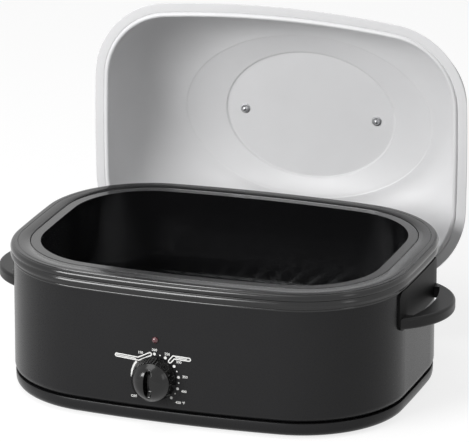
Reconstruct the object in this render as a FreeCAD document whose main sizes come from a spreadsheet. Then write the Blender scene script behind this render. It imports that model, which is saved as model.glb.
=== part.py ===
import FreeCAD, Part
import math
import os

import Sketcher

# Electric roaster oven: an oblong countertop cooker with a lift-out roasting pan, a wire rack,
# a dial on the front wall and a domed lid that swings back and down on two rear arms.
#
# The part's frame is in millimetres: +X to the oven's right, +Y to its back, +Z up, and Z = 0 is
# the table under the feet.  The oven's own middle lies at Y = body_y, so that the origin is under
# the middle of the whole, lid open.  Every length below is measured from the oven's own middle.
# The lid is modelled closed, in its own frame, whose origin is the middle of its sealing bead.

Vector = FreeCAD.Vector
Rotation = FreeCAD.Rotation
X_AXIS, Y_AXIS, Z_AXIS = Vector(1, 0, 0), Vector(0, 1, 0), Vector(0, 0, 1)

document = FreeCAD.newDocument("roaster_oven")
sheet = document.addObject("Spreadsheet::Sheet", "sizes")


class Size:
    """A length together with the spreadsheet expression that gives it."""

    def __init__(self, value, text):
        self.value = float(value)
        self.text = text

    def _with(self, other, sign, value):
        return Size(value, f"({self.text} {sign} {as_size(other).text})")

    def __add__(self, other):
        return self._with(other, "+", self.value + as_size(other).value)

    def __sub__(self, other):
        return self._with(other, "-", self.value - as_size(other).value)

    def __mul__(self, other):
        return self._with(other, "*", self.value * as_size(other).value)

    def __truediv__(self, other):
        return self._with(other, "/", self.value / as_size(other).value)

    def __radd__(self, other):
        return as_size(other) + self

    def __rsub__(self, other):
        return as_size(other) - self

    def __rmul__(self, other):
        return as_size(other) * self

    def __neg__(self):
        return Size(-self.value, f"(-1 * {self.text})")

    def root(self):
        return Size(math.sqrt(self.value), f"sqrt({self.text})")


def as_size(number):
    """A plain number as a Size, so that numbers and sheet values mix."""
    return number if isinstance(number, Size) else Size(number, f"{float(number):.6f}")


def size(name, value):
    """Write one driving dimension into the sheet and return it."""
    size.row += 1
    sheet.set(f"A{size.row}", name)
    sheet.set(f"B{size.row}", f"{value}")
    sheet.setAlias(f"B{size.row}", name)
    return Size(value, f"<<sizes>>.{name}")


size.row = 0

# ---------------------------------------------------------------- driving dimensions

# Plan outline of the rim: eight tangent arcs, a bowed rectangle with large corners.
half_length = size("half_length", 280)
half_width = size("half_width", 212)
corner_radius = size("corner_radius", 150)
side_bow = size("side_bow", 1475)
end_bow = size("end_bow", 3000)
body_y = size("body_y", -86)

# Rim moulding, from the top down.
rim_top = size("rim_top", 204)
lip_height = size("lip_height", 9.5)
lip_round = size("lip_round", 2.8)
bead_inset = size("bead_inset", 2)
bead_height = size("bead_height", 8)
neck_inset = size("neck_inset", 3.6)
neck_height = size("neck_height", 4)
rim_plate = size("rim_plate", 2)
rim_skirt = size("rim_skirt", 2.4)
seat_inset = size("seat_inset", 27)
seat_depth = size("seat_depth", 4)
seat_ledge = size("seat_ledge", 7)

# Outer shell and base tray.
wall_inset = size("wall_inset", 4.5)
shell_sheet = size("shell_sheet", 1.2)
shell_base = size("shell_base", 22)
shell_turn = size("shell_turn", 11)
shell_hem = size("shell_hem", 9)
tray_inset = size("tray_inset", 13)
tray_sheet = size("tray_sheet", 1.5)
tray_round = size("tray_round", 3)
tray_lip = size("tray_lip", 11)
foot_height = size("foot_height", 3)
foot_radius = size("foot_radius", 13)
foot_in_x = size("foot_in_x", 102)
foot_in_y = size("foot_in_y", 84)
foot_x = half_length - foot_in_x
foot_y = half_width - foot_in_y
screw_radius = size("screw_radius", 2)
screw_head = size("screw_head", 3.6)
screw_gap = size("screw_gap", 0.05)

# Heating well, its band heater and the insulation.
well_flange = size("well_flange", 29)
well_inset = size("well_inset", 37.5)
well_sheet = size("well_sheet", 1)
well_floor = size("well_floor", 34)
well_round = size("well_round", 18)
band_low = size("band_low", 60)
band_height = size("band_height", 45)
band_sheet = size("band_sheet", 1.5)
wool_inset = size("wool_inset", 27)
wool_low = size("wool_low", 56)
wool_height = size("wool_height", 112)

# Roasting pan.
pan_gap = size("pan_gap", 0.6)
pan_seat = size("pan_seat", 0.3)
pan_inset = size("pan_inset", 40)
pan_rim = size("pan_rim", 3.7)
pan_rim_round = size("pan_rim_round", 1.6)
pan_sheet = size("pan_sheet", 1.2)
pan_floor = size("pan_floor", 52)
pan_round = size("pan_round", 20)

# Wire rack and its two swing handles.
rack_inset = size("rack_inset", 66)
rack_height = size("rack_height", 18)
rack_wire = size("rack_wire", 2.5)
cross_wire = size("cross_wire", 1.7)
cross_step = size("cross_step", 25)
long_step = size("long_step", 42)
rack_seat = size("rack_seat", 0.3)
bail_wire = size("bail_wire", 2)
bail_half = size("bail_half", 42)
bail_length = size("bail_length", 55)
bail_eye = size("bail_eye", 4.2)

# Dial on the front wall.
dial_x = size("dial_x", -27)
dial_z = size("dial_z", 68.2)
knob_gap = size("knob_gap", 0.95)
knob_base = size("knob_base", 30.5)
knob_step = size("knob_step", 5)
knob_radius = knob_base - knob_step
knob_depth = size("knob_depth", 25)
grip_rise = size("grip_rise", 6)
grip_width = size("grip_width", 11)
spindle_radius = size("spindle_radius", 3)
running_gap = size("running_gap", 0.05)
bush_radius = size("bush_radius", 5)
control_depth = size("control_depth", 19)
lamp_x = size("lamp_x", -26)
lamp_z = size("lamp_z", 122)
lamp_radius = size("lamp_radius", 3.5)

# End handles.
handle_drop = size("handle_drop", 76)
handle_low = rim_top - handle_drop
handle_height = size("handle_height", 16)
handle_arc = size("handle_arc", 93.6)
handle_set = size("handle_set", 50.6)
handle_centre = half_length - handle_set
handle_round = size("handle_round", 4)
finger_half = size("finger_half", 62)
finger_arc = size("finger_arc", 197.2)
finger_room = size("finger_room", 16)
finger_reach = half_length + finger_room
plate_half = size("plate_half", 84)
plate_drop = size("plate_drop", 78)
plate_low = rim_top - plate_drop
plate_sheet = size("plate_sheet", 3)
plate_round = size("plate_round", 10)
handle_screw_y = size("handle_screw_y", 70)

# Lid, in its own frame.
lid_inset_x = size("lid_inset_x", 7)
lid_half_length = half_length - lid_inset_x
lid_inset_y = size("lid_inset_y", 16)
lid_half_width = half_width - lid_inset_y
lid_corner_less = size("lid_corner_less", 34)
lid_corner = corner_radius - lid_corner_less
lid_sheet = size("lid_sheet", 1.2)
lid_flange = size("lid_flange", 14)
lid_flange_rise = size("lid_flange_rise", 2)
lid_bead = size("lid_bead", 6)
lid_depth = size("lid_depth", 145)
crown_in_x = size("crown_in_x", 146)
crown_half_length = lid_half_length - crown_in_x
crown_in_y = size("crown_in_y", 106)
crown_half_width = lid_half_width - crown_in_y
crown_corner = size("crown_corner", 72)
crown_bow = size("crown_bow", 500)
lid_screw_x = size("lid_screw_x", 98)
lid_screw_radius = size("lid_screw_radius", 1.75)
vent_x = size("vent_x", 168)
lid_gap = size("lid_gap", 0.3)
open_back = size("open_back", 16)
open_y = half_width + open_back
open_rise = size("open_rise", 65.5)
open_z = rim_top + open_rise

# Lid handle.
lid_handle_half = size("lid_handle_half", 120)
lid_handle_rise = size("lid_handle_rise", 22)
lid_handle_bar = size("lid_handle_bar", 13)
lid_handle_width = size("lid_handle_width", 24)

# Rear hinge: two brackets, two arms and two tabs on the lid.
hinge_x = size("hinge_x", 110)
hinge_out = size("hinge_out", 10)
hinge_back = half_width + hinge_out
hinge_drop = size("hinge_drop", 9)
pin_radius = size("pin_radius", 3)
pin_head = size("pin_head", 4.4)
arm_sheet = size("arm_sheet", 5)
arm_half_width = size("arm_half_width", 5.5)
side_gap = size("side_gap", 0.4)
ear_sheet = size("ear_sheet", 3)
ear_radius = size("ear_radius", 5.9)
bracket_sheet = size("bracket_sheet", 2.5)
bracket_half = size("bracket_half", 20)
bracket_screw = size("bracket_screw", 13)
tie_radius = size("tie_radius", 3)

document.recompute()

# ---------------------------------------------------------------- helpers


class Loop:
    """A closed plan outline of eight tangent arcs about the middle."""

    def __init__(self, length, width, corner, side, end):
        self.length = as_size(length)
        self.width = as_size(width)
        self.corner = as_size(corner)
        self.side = as_size(side)
        self.end = as_size(end)

    def inset(self, distance):
        """The same outline moved inwards, every arc keeping its centre."""
        return Loop(
            self.length - distance,
            self.width - distance,
            self.corner - distance,
            self.side - distance,
            self.end - distance,
        )

    def corner_centre(self):
        """Centre of the corner arc, which touches the side arc and the end arc from inside."""
        side_centre = Vector(0, self.width.value - self.side.value, 0)
        end_centre = Vector(self.length.value - self.end.value, 0, 0)
        to_side = self.side.value - self.corner.value
        to_end = self.end.value - self.corner.value
        between = end_centre - side_centre
        span = between.Length
        along = (to_side**2 - to_end**2 + span**2) / (2 * span)
        across = math.sqrt(to_side**2 - along**2)
        unit = between * (1 / span)
        normal = Vector(-unit.y, unit.x, 0)
        points = [side_centre + unit * along + normal * (across * s) for s in (1, -1)]
        return max(points, key=lambda p: min(p.x, p.y))

    def arcs(self):
        """The eight arcs, counter-clockwise from the right-hand end."""
        c = self.corner_centre()
        a, b = self.length.value, self.width.value
        side, end, corner = self.side.value, self.end.value, self.corner.value
        low = math.atan2(c.y, c.x - (a - end))
        high = math.atan2(c.y - (b - side), c.x)
        half, full = math.pi, 2 * math.pi
        return [
            arc(Vector(a - end, 0, 0), end, -low, low),
            arc(Vector(c.x, c.y, 0), corner, low, high),
            arc(Vector(0, b - side, 0), side, high, half - high),
            arc(Vector(-c.x, c.y, 0), corner, half - high, half - low),
            arc(Vector(end - a, 0, 0), end, half - low, half + low),
            arc(Vector(-c.x, -c.y, 0), corner, half + low, half + high),
            arc(Vector(0, side - b, 0), side, half + high, full - high),
            arc(Vector(c.x, -c.y, 0), corner, full - high, full - low),
        ]

    def side_at(self, x):
        """Distance of the bowed side from the middle at a given x."""
        return (self.side * self.side - as_size(x) * x).root() + self.width - self.side

    def end_at(self, y):
        """Distance of the bowed end from the middle at a given y."""
        return (self.end * self.end - as_size(y) * y).root() + self.length - self.end


def arc(centre, radius, start, end):
    return Part.ArcOfCircle(Part.Circle(centre, Z_AXIS, radius), start, end)


def body_loop(inset):
    """The rim outline moved inwards by a distance."""
    return Loop(half_length, half_width, corner_radius, side_bow, end_bow).inset(inset)


def lid_loop(inset):
    """The lid flange's outline moved inwards by a distance."""
    return Loop(lid_half_length, lid_half_width, lid_corner, side_bow, end_bow).inset(inset)


def bind(item, path, length):
    """Tie one property to the sheet, and set it at once."""
    item.setExpression(path, as_size(length).text)


def place(item, x=0.0, y=0.0, z=0.0, rotation=None):
    """Put a sub-part at a point measured from the oven's own middle."""
    item.Placement = FreeCAD.Placement(Vector(0, 0, 0), rotation or Rotation())
    bind(item, ".Placement.Base.x", x)
    bind(item, ".Placement.Base.y", body_y + y)
    bind(item, ".Placement.Base.z", z)
    return item


def place_on_lid(item, x=0.0, y=0.0, z=0.0, rotation=None):
    """Put a piece at a point of the lid's own frame, the lid open: turned back a right angle."""
    turn = Rotation(X_AXIS, -90).multiply(rotation or Rotation())
    item.Placement = FreeCAD.Placement(Vector(0, 0, 0), turn)
    bind(item, ".Placement.Base.x", x)
    bind(item, ".Placement.Base.y", body_y + open_y + z)
    bind(item, ".Placement.Base.z", open_z - y)
    return item


def new_body(name):
    body = document.addObject("PartDesign::Body", name)
    body.Label = name
    return body


def origin_plane(body, role):
    return next(f for f in body.Origin.OriginFeatures if f.Role == role)


def new_sketch(body, role="XY_Plane", offset=0.0):
    """A sketch on one of the body's own planes, moved along its normal."""
    sketch = body.newObject("Sketcher::SketchObject", f"{body.Name}_sketch")
    sketch.AttachmentSupport = [(origin_plane(body, role), "")]
    sketch.MapMode = "FlatFace"
    bind(sketch, ".AttachmentOffset.Base.z", offset)
    return sketch


def draw_loop(sketch, loop):
    """Eight arcs with their radii, centres and tangencies, tied to the sheet."""
    first = len(sketch.Geometry)
    sketch.addGeometry(loop.arcs(), False)
    ends, sides, corners = (0, 4), (2, 6), (1, 3, 5, 7)
    for index in range(8):
        here, there = first + index, first + (index + 1) % 8
        sketch.addConstraint(Sketcher.Constraint("Tangent", here, 2, there, 1))
    for index in ends:
        sketch.addConstraint(Sketcher.Constraint("PointOnObject", first + index, 3, -1))
    for index in sides:
        sketch.addConstraint(Sketcher.Constraint("PointOnObject", first + index, 3, -2))
    radii = [(ends, loop.end), (sides, loop.side), (corners, loop.corner)]
    for group, radius in radii:
        for index in group:
            dimension(sketch, "Radius", (first + index,), radius)
    offsets = [
        ("DistanceX", ends[0], loop.length - loop.end),
        ("DistanceX", ends[1], loop.end - loop.length),
        ("DistanceY", sides[0], loop.width - loop.side),
        ("DistanceY", sides[1], loop.side - loop.width),
    ]
    for kind, index, distance in offsets:
        dimension(sketch, kind, (-1, 1, first + index, 3), distance)
    return sketch


def dimension(sketch, kind, where, length):
    """One driving constraint tied to the sheet."""
    number = sketch.addConstraint(Sketcher.Constraint(kind, *where, as_size(length).value))
    bind(sketch, f"Constraints[{number}]", length)


def draw_circle(sketch, x, y, radius):
    """A circle with its centre and radius tied to the sheet."""
    x, y, radius = as_size(x), as_size(y), as_size(radius)
    circle = Part.Circle(Vector(x.value, y.value, 0), Z_AXIS, radius.value)
    number = sketch.addGeometry(circle, False)
    dimension(sketch, "Radius", (number,), radius)
    dimension(sketch, "DistanceX", (-1, 1, number, 3), x)
    dimension(sketch, "DistanceY", (-1, 1, number, 3), y)
    return sketch


def draw_polygon(sketch, points):
    """A closed polygon whose corners are tied to the sheet."""
    points = [(as_size(x), as_size(y)) for x, y in points]
    first = len(sketch.Geometry)
    corners = [Vector(x.value, y.value, 0) for x, y in points]
    for index, corner in enumerate(corners):
        following = corners[(index + 1) % len(corners)]
        sketch.addGeometry(Part.LineSegment(corner, following), False)
    for index, (x, y) in enumerate(points):
        here, there = first + index, first + (index + 1) % len(points)
        sketch.addConstraint(Sketcher.Constraint("Coincident", here, 2, there, 1))
        dimension(sketch, "DistanceX", (-1, 1, here, 1), x)
        dimension(sketch, "DistanceY", (-1, 1, here, 1), y)
    return sketch


def settle(feature):
    """Recompute, and stop at the first feature that has failed."""
    document.recompute()
    if "Invalid" in feature.State or "Error" in feature.State or feature.Shape.isNull():
        raise ValueError(f"{feature.Label} failed: {feature.State}")
    return feature


def pad(body, sketch, length, midplane=False, reverse=False):
    feature = body.newObject("PartDesign::Pad", f"{body.Name}_pad")
    feature.Profile = sketch
    feature.Midplane = midplane
    feature.Reversed = reverse
    bind(feature, "Length", length)
    return settle(feature)


def pocket(body, sketch, length, reverse=False):
    """Cut a sketch into the body, and make sure that it took something away."""
    before = body.Shape.Volume
    feature = body.newObject("PartDesign::Pocket", f"{body.Name}_pocket")
    feature.Profile = sketch
    feature.Reversed = reverse
    bind(feature, "Length", length)
    settle(feature)
    if body.Shape.Volume >= before:
        raise ValueError(f"{feature.Label} cuts nothing")
    return feature


def loft(body, levels, subtract=False):
    """A ruled wall through outlines at rising heights: levels is a list of (height, loop)."""
    sketches = [draw_loop(new_sketch(body, offset=height), loop) for height, loop in levels]
    document.recompute()
    kind = "SubtractiveLoft" if subtract else "AdditiveLoft"
    feature = body.newObject(f"PartDesign::{kind}", f"{body.Name}_loft")
    feature.Profile = sketches[0]
    feature.Sections = sketches[1:]
    feature.Ruled = True
    return settle(feature)


def edges_at(shape, height, loop, slack=0.05):
    """Names of the edges that run along a loop at one height."""
    names = []
    for number, edge in enumerate(shape.Edges, 1):
        box = edge.BoundBox
        level = abs(box.ZMin - height.value) < slack and abs(box.ZMax - height.value) < slack
        middle = edge.valueAt((edge.FirstParameter + edge.LastParameter) / 2)
        if level and on_loop(middle, loop, slack):
            names.append(f"Edge{number}")
    return names


def on_loop(point, loop, slack):
    wire = Part.Wire([piece.toShape() for piece in loop.arcs()])
    flat = Part.Vertex(Vector(point.x, point.y, 0))
    return wire.distToShape(flat)[0] < slack


def fillet(body, base, names, radius):
    feature = body.newObject("PartDesign::Fillet", f"{body.Name}_fillet")
    feature.Base = (base, names)
    bind(feature, "Radius", radius)
    return settle(feature)


def revolve(body, points, role="YZ_Plane"):
    """Turn a closed half-section about the sketch's vertical axis."""
    sketch = draw_polygon(new_sketch(body, role), points)
    document.recompute()
    feature = body.newObject("PartDesign::Revolution", f"{body.Name}_turned")
    feature.Profile = sketch
    feature.ReferenceAxis = (sketch, ["V_Axis"])
    feature.Angle = 360
    return settle(feature)


def box(name, length, width, height, x, y, z):
    """A block whose low corner is measured from the oven's own middle."""
    item = document.addObject("Part::Box", name)
    bind(item, "Length", length)
    bind(item, "Width", width)
    bind(item, "Height", height)
    return place(item, x, y, z)


def cylinder(name, radius, height, x, y, z, axis=Z_AXIS):
    """A rod that starts at a point and runs along an axis."""
    item = document.addObject("Part::Cylinder", name)
    bind(item, "Radius", radius)
    bind(item, "Height", height)
    return place(item, x, y, z, Rotation(Z_AXIS, axis))


def combine(kind, name, pieces):
    """A boolean of Part objects: Cut and Common take two, MultiFuse takes a list."""
    item = document.addObject(f"Part::{kind}", name)
    item.Label = name
    if kind == "MultiFuse":
        item.Shapes = pieces
    else:
        item.Base, item.Tool = pieces
    return settle(item)


def group(name, pieces):
    """Several separate solids kept as one node, such as a set of like screws."""
    item = document.addObject("Part::Compound", name)
    item.Label = name
    item.Links = pieces
    document.recompute()
    return item


def draw_ring(sketch, outer, inner):
    """Two outlines in one sketch: the outer one and the hole inside it."""
    draw_loop(sketch, outer)
    return draw_loop(sketch, inner)


def trim_inside(body, loop, low, height):
    """Cut away everything inside an outline."""
    return pocket(body, draw_loop(new_sketch(body, offset=low), loop), height, reverse=True)


def trim_outside(body, loop, low, height):
    """Cut away everything outside an outline."""
    sketch = draw_ring(new_sketch(body, offset=low), loop.inset(-80), loop)
    return pocket(body, sketch, height, reverse=True)


def long_edges(shape, axis, keep):
    """Names of the straight edges along an axis whose middle passes a test."""
    names = []
    for number, edge in enumerate(shape.Edges, 1):
        if edge.Curve.TypeId != "Part::GeomLine":
            continue
        run = edge.lastVertex(True).Point - edge.firstVertex(True).Point
        if abs(run.dot(axis)) > 0.999 * run.Length and keep(edge.CenterOfMass):
            names.append(f"Edge{number}")
    return names


def draw_segment(sketch, centre_x, radius, chord_x, side):
    """An arc about a point of the X axis, closed by a chord: side is +1 or -1."""
    centre_x, radius, chord_x = as_size(centre_x), as_size(radius), as_size(chord_x)
    reach = math.acos((chord_x.value - centre_x.value) / radius.value)
    turn = 0.0 if side > 0 else math.pi
    bow = arc(Vector(side * centre_x.value, 0, 0), radius.value, turn - reach, turn + reach)
    chord = Part.LineSegment(bow.EndPoint, bow.StartPoint)
    sketch.addGeometry([bow, chord], False)
    sketch.addConstraint(Sketcher.Constraint("Coincident", 0, 2, 1, 1))
    sketch.addConstraint(Sketcher.Constraint("Coincident", 1, 2, 0, 1))
    sketch.addConstraint(Sketcher.Constraint("Vertical", 1))
    sketch.addConstraint(Sketcher.Constraint("PointOnObject", 0, 3, -1))
    dimension(sketch, "Radius", (0,), radius)
    dimension(sketch, "DistanceX", (-1, 1, 0, 3), centre_x * side)
    dimension(sketch, "DistanceX", (-1, 1, 1, 1), chord_x * side)
    return sketch


def draw_finger_gap(sketch, reach, radius, half, back_x, side):
    """A slot with a bowed far side: three straight edges and an arc."""
    reach, radius, half, back_x = (as_size(v) for v in (reach, radius, half, back_x))
    centre = reach - radius
    spread = math.asin(half.value / radius.value)
    turn = 0.0 if side > 0 else math.pi
    middle = Vector(side * centre.value, 0, 0)
    bow = arc(middle, radius.value, turn - spread, turn + spread)
    back = side * back_x.value
    far_end = Vector(back, bow.EndPoint.y, 0)
    far_start = Vector(back, bow.StartPoint.y, 0)
    lines = [(bow.EndPoint, far_end), (far_end, far_start), (far_start, bow.StartPoint)]
    sketch.addGeometry([bow] + [Part.LineSegment(a, b) for a, b in lines], False)
    for here, there in ((0, 1), (1, 2), (2, 3), (3, 0)):
        sketch.addConstraint(Sketcher.Constraint("Coincident", here, 2, there, 1))
    sketch.addConstraint(Sketcher.Constraint("Horizontal", 1))
    sketch.addConstraint(Sketcher.Constraint("Vertical", 2))
    sketch.addConstraint(Sketcher.Constraint("Horizontal", 3))
    sketch.addConstraint(Sketcher.Constraint("PointOnObject", 0, 3, -1))
    dimension(sketch, "Radius", (0,), radius)
    dimension(sketch, "DistanceX", (-1, 1, 0, 3), centre * side)
    dimension(sketch, "DistanceY", (-1, 1, 0, 2), half * side)
    dimension(sketch, "DistanceX", (-1, 1, 2, 1), back_x * side)
    return sketch


def rectangle(low_x, low_y, high_x, high_y):
    return [(low_x, low_y), (high_x, low_y), (high_x, high_y), (low_x, high_y)]


def rod_profile(head, head_height, shank, length, tail=None, tail_height=None):
    """Half-section of a headed rod that starts with its head below zero."""
    points = [(0, -as_size(head_height)), (head, -as_size(head_height)), (head, 0), (shank, 0)]
    if tail is None:
        return points + [(shank, length), (0, length)]
    end = as_size(length) + tail_height
    return points + [(shank, length), (tail, length), (tail, end), (0, end)]


def turned(name, points):
    """A body turned about its own Z axis."""
    body = new_body(name)
    revolve(body, points)
    return body


nodes = []


def keep(item, name=None):
    """Record a finished sub-part under its node name."""
    if name:
        item.Label = name
    nodes.append(item)
    return item


SIDES = (("left", -1), ("right", 1))
TO_BACK = Rotation(Z_AXIS, Y_AXIS)
TO_FRONT = Rotation(Z_AXIS, -Y_AXIS)

# ---------------------------------------------------------------- heights that follow

lip_base = rim_top - lip_height
bead_base = lip_base - bead_height
shell_top = bead_base - neck_height
shelf_top = rim_top - seat_depth
shelf_base = shelf_top - rim_plate
hem_top = shell_base + shell_sheet
wall_face = body_loop(wall_inset)
wall_inner = body_loop(wall_inset + shell_sheet)
dial_wall = wall_face.side_at(dial_x)
lamp_wall = wall_face.side_at(lamp_x)
rear_wall = wall_face.side_at(0)

# Hinge points: the lid pivot when open and when closed, and the body pivot midway between them.
open_pivot_y = open_y - hinge_drop
open_pivot_z = open_z - hinge_back
closed_z = rim_top + lid_gap
shut_pivot_z = closed_z - hinge_drop
arm_pivot_y = (open_pivot_y + hinge_back) / 2
arm_pivot_z = (open_pivot_z + shut_pivot_z) / 2
bracket_screw_z = arm_pivot_z
handle_screw_z = handle_low + handle_height / 2

# ---------------------------------------------------------------- outer shell

outer_shell = new_body("outer_shell")
pad(
    outer_shell,
    draw_loop(new_sketch(outer_shell, offset=shell_base), wall_face),
    shell_top - shell_base,
)
trim_inside(outer_shell, wall_inner, hem_top, shell_top - shell_base)
fillet(
    outer_shell,
    outer_shell.Tip,
    edges_at(outer_shell.Shape, hem_top, wall_inner),
    shell_turn - shell_sheet,
)
fillet(
    outer_shell, outer_shell.Tip, edges_at(outer_shell.Shape, shell_base, wall_face), shell_turn
)
hem_inset = wall_inset + shell_turn + shell_hem
trim_inside(outer_shell, body_loop(hem_inset), shell_base - 1, shell_sheet + 2)

# Holes in the front wall: the dial's bush and the lamp.
front_holes = new_sketch(outer_shell, "XZ_Plane", half_width)
draw_circle(front_holes, dial_x, dial_z, bush_radius)
draw_circle(front_holes, lamp_x, lamp_z, lamp_radius)
pocket(outer_shell, front_holes, wall_inset * 4)

# Holes in the rear wall: the cord's gland and the two brackets' screws.
gland_radius = bush_radius + 1
gland_z = shell_base + shell_turn + 9
rear_holes = new_sketch(outer_shell, "XZ_Plane", -half_width)
draw_circle(rear_holes, 0, gland_z, gland_radius)
for _, side in SIDES:
    for step in (-1, 1):
        hole_x = hinge_x * side + bracket_screw * step
        draw_circle(rear_holes, hole_x, bracket_screw_z, screw_radius + screw_gap)
pocket(outer_shell, rear_holes, wall_inset * 5, reverse=True)

# Holes in the end walls: the handles' screws.
for _, side in SIDES:
    end_holes = new_sketch(outer_shell, "YZ_Plane", half_length * side)
    for step in (-1, 1):
        draw_circle(
            end_holes, handle_screw_y * step, handle_screw_z, screw_radius + screw_gap
        )
    pocket(outer_shell, end_holes, wall_inset * 4, reverse=side < 0)

# Rivet holes through the hem at six places.
rivet_inset = wall_inset + shell_turn + shell_hem / 2
rivet_loop = body_loop(rivet_inset)
rivet_x = half_length / 2.4
rivet_places = [
    (rivet_x, rivet_loop.side_at(rivet_x)),
    (-rivet_x, rivet_loop.side_at(rivet_x)),
    (-rivet_x, -rivet_loop.side_at(rivet_x)),
    (rivet_x, -rivet_loop.side_at(rivet_x)),
    (rivet_loop.end_at(0), as_size(0)),
    (-rivet_loop.end_at(0), as_size(0)),
]
hem_holes = new_sketch(outer_shell, offset=shell_base - 1)
for hole_x, hole_y in rivet_places:
    draw_circle(hem_holes, hole_x, hole_y, screw_radius)
pocket(outer_shell, hem_holes, shell_sheet + 2, reverse=True)
keep(place(outer_shell))

# ---------------------------------------------------------------- base tray, rivets and feet

base_pan = new_body("base_pan")
tray_face = body_loop(tray_inset)
tray_mouth = body_loop(tray_inset + tray_lip)
tray_top = foot_height + tray_sheet
pad(
    base_pan,
    draw_loop(new_sketch(base_pan, offset=foot_height), tray_face),
    shell_base - foot_height,
)
fillet(base_pan, base_pan.Tip, edges_at(base_pan.Shape, foot_height, tray_face), tray_round)
trim_inside(base_pan, tray_mouth, tray_top, shell_base)
pocket(
    base_pan,
    draw_ring(
        new_sketch(base_pan, offset=tray_top), body_loop(tray_inset + tray_sheet), tray_mouth
    ),
    shell_base - tray_sheet - tray_top,
    reverse=True,
)
tray_holes = new_sketch(base_pan, offset=shell_base - tray_sheet - 1)
for hole_x, hole_y in rivet_places:
    draw_circle(tray_holes, hole_x, hole_y, screw_radius)
pocket(base_pan, tray_holes, tray_sheet + 2, reverse=True)
foot_places = [(foot_x * i, foot_y * j) for i, j in ((1, -1), (1, 1), (-1, 1), (-1, -1))]
foot_stem = foot_radius / 3
foot_holes = new_sketch(base_pan, offset=foot_height - 1)
for hole_x, hole_y in foot_places:
    draw_circle(foot_holes, hole_x, hole_y, foot_stem)
pocket(base_pan, foot_holes, tray_sheet + 2, reverse=True)
keep(place(base_pan))

rivets = []
for number, (rivet_at_x, rivet_at_y) in enumerate(rivet_places, 1):
    profile = rod_profile(
        screw_head, tray_sheet, screw_radius, tray_sheet + shell_sheet, screw_head, tray_sheet
    )
    rivet = turned(f"base_rivet_{number}", profile)
    rivets.append(place(rivet, rivet_at_x, rivet_at_y, shell_base - tray_sheet))
keep(group("base_rivets", rivets))

for number, (foot_at_x, foot_at_y) in enumerate(foot_places, 1):
    foot = turned(
        f"foot_{number}",
        [
            (0, 0),
            (foot_radius - 1, 0),
            (foot_radius, 1),
            (foot_radius, foot_height),
            (foot_stem, foot_height),
            (foot_stem, tray_top),
            (foot_stem + 2, tray_top),
            (foot_stem, tray_top + 3),
            (0, tray_top + 3),
        ],
    )
    keep(place(foot, foot_at_x, foot_at_y, 0))

# ---------------------------------------------------------------- rim moulding

rim_ring = new_body("rim_ring")
neck_loop, bead_loop, lip_loop = body_loop(neck_inset), body_loop(bead_inset), body_loop(0)
pad(rim_ring, draw_loop(new_sketch(rim_ring, offset=shell_top), neck_loop), neck_height)
pad(rim_ring, draw_loop(new_sketch(rim_ring, offset=bead_base), bead_loop), bead_height)
pad(rim_ring, draw_loop(new_sketch(rim_ring, offset=lip_base), lip_loop), lip_height)
fillet(rim_ring, rim_ring.Tip, edges_at(rim_ring.Shape, rim_top, lip_loop), lip_round)
lip_ledge, bead_ledge = bead_inset * 0.8, (neck_inset - bead_inset) * 0.8
fillet(rim_ring, rim_ring.Tip, edges_at(rim_ring.Shape, lip_base, lip_loop), lip_ledge)
fillet(rim_ring, rim_ring.Tip, edges_at(rim_ring.Shape, bead_base, bead_loop), bead_ledge)
skirt_loop = body_loop(neck_inset + rim_skirt)
step_loop = body_loop(seat_inset - rim_plate)
trim_inside(rim_ring, skirt_loop, shell_top, shelf_base - shell_top)
pocket(
    rim_ring,
    draw_ring(new_sketch(rim_ring, offset=shelf_base), skirt_loop, step_loop),
    seat_depth,
    reverse=True,
)
trim_inside(rim_ring, body_loop(seat_inset), shelf_top, seat_depth + 1)
trim_inside(rim_ring, body_loop(seat_inset + seat_ledge), shelf_base, rim_plate + 1)
keep(place(rim_ring))

# ---------------------------------------------------------------- heating well

liner = new_body("liner")
well_face, well_bore = body_loop(well_inset), body_loop(well_inset + well_sheet)
flange_base = shelf_base - well_sheet
pad(liner, draw_loop(new_sketch(liner, offset=well_floor), well_face), shelf_base - well_floor)
trim_inside(liner, well_bore, well_floor + well_sheet, shelf_base - well_floor)
fillet(
    liner,
    liner.Tip,
    edges_at(liner.Shape, well_floor + well_sheet, well_bore),
    well_round - well_sheet,
)
fillet(liner, liner.Tip, edges_at(liner.Shape, well_floor, well_face), well_round)
pad(
    liner,
    draw_ring(new_sketch(liner, offset=flange_base), body_loop(well_flange), well_face),
    well_sheet,
)
keep(place(liner))

heater_band = new_body("heater_band")
band_face = body_loop(well_inset - band_sheet)
pad(
    heater_band,
    draw_ring(new_sketch(heater_band, offset=band_low), band_face, well_face),
    band_height,
)
keep(place(heater_band))

insulation = new_body("insulation")
pad(
    insulation,
    draw_ring(new_sketch(insulation, offset=wool_low), body_loop(wool_inset), band_face),
    wool_height,
)
keep(place(insulation))

# The thermostat's bulb in its saddle, held against the front of the well above the band.
bulb_z = (wool_low + wool_height + flange_base) / 2
thermostat_bulb = new_body("thermostat_bulb")
pad(
    thermostat_bulb,
    draw_polygon(
        new_sketch(thermostat_bulb, offset=bulb_z - spindle_radius),
        rectangle(
            dial_x - 30, -well_face.width - spindle_radius * 2, dial_x + 30, -well_face.width + 4
        ),
    ),
    spindle_radius * 2,
)
trim_inside(thermostat_bulb, well_face, bulb_z - spindle_radius - 1, spindle_radius * 2 + 2)
keep(place(thermostat_bulb))

# ---------------------------------------------------------------- thermostat, lamp and wiring

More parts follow.
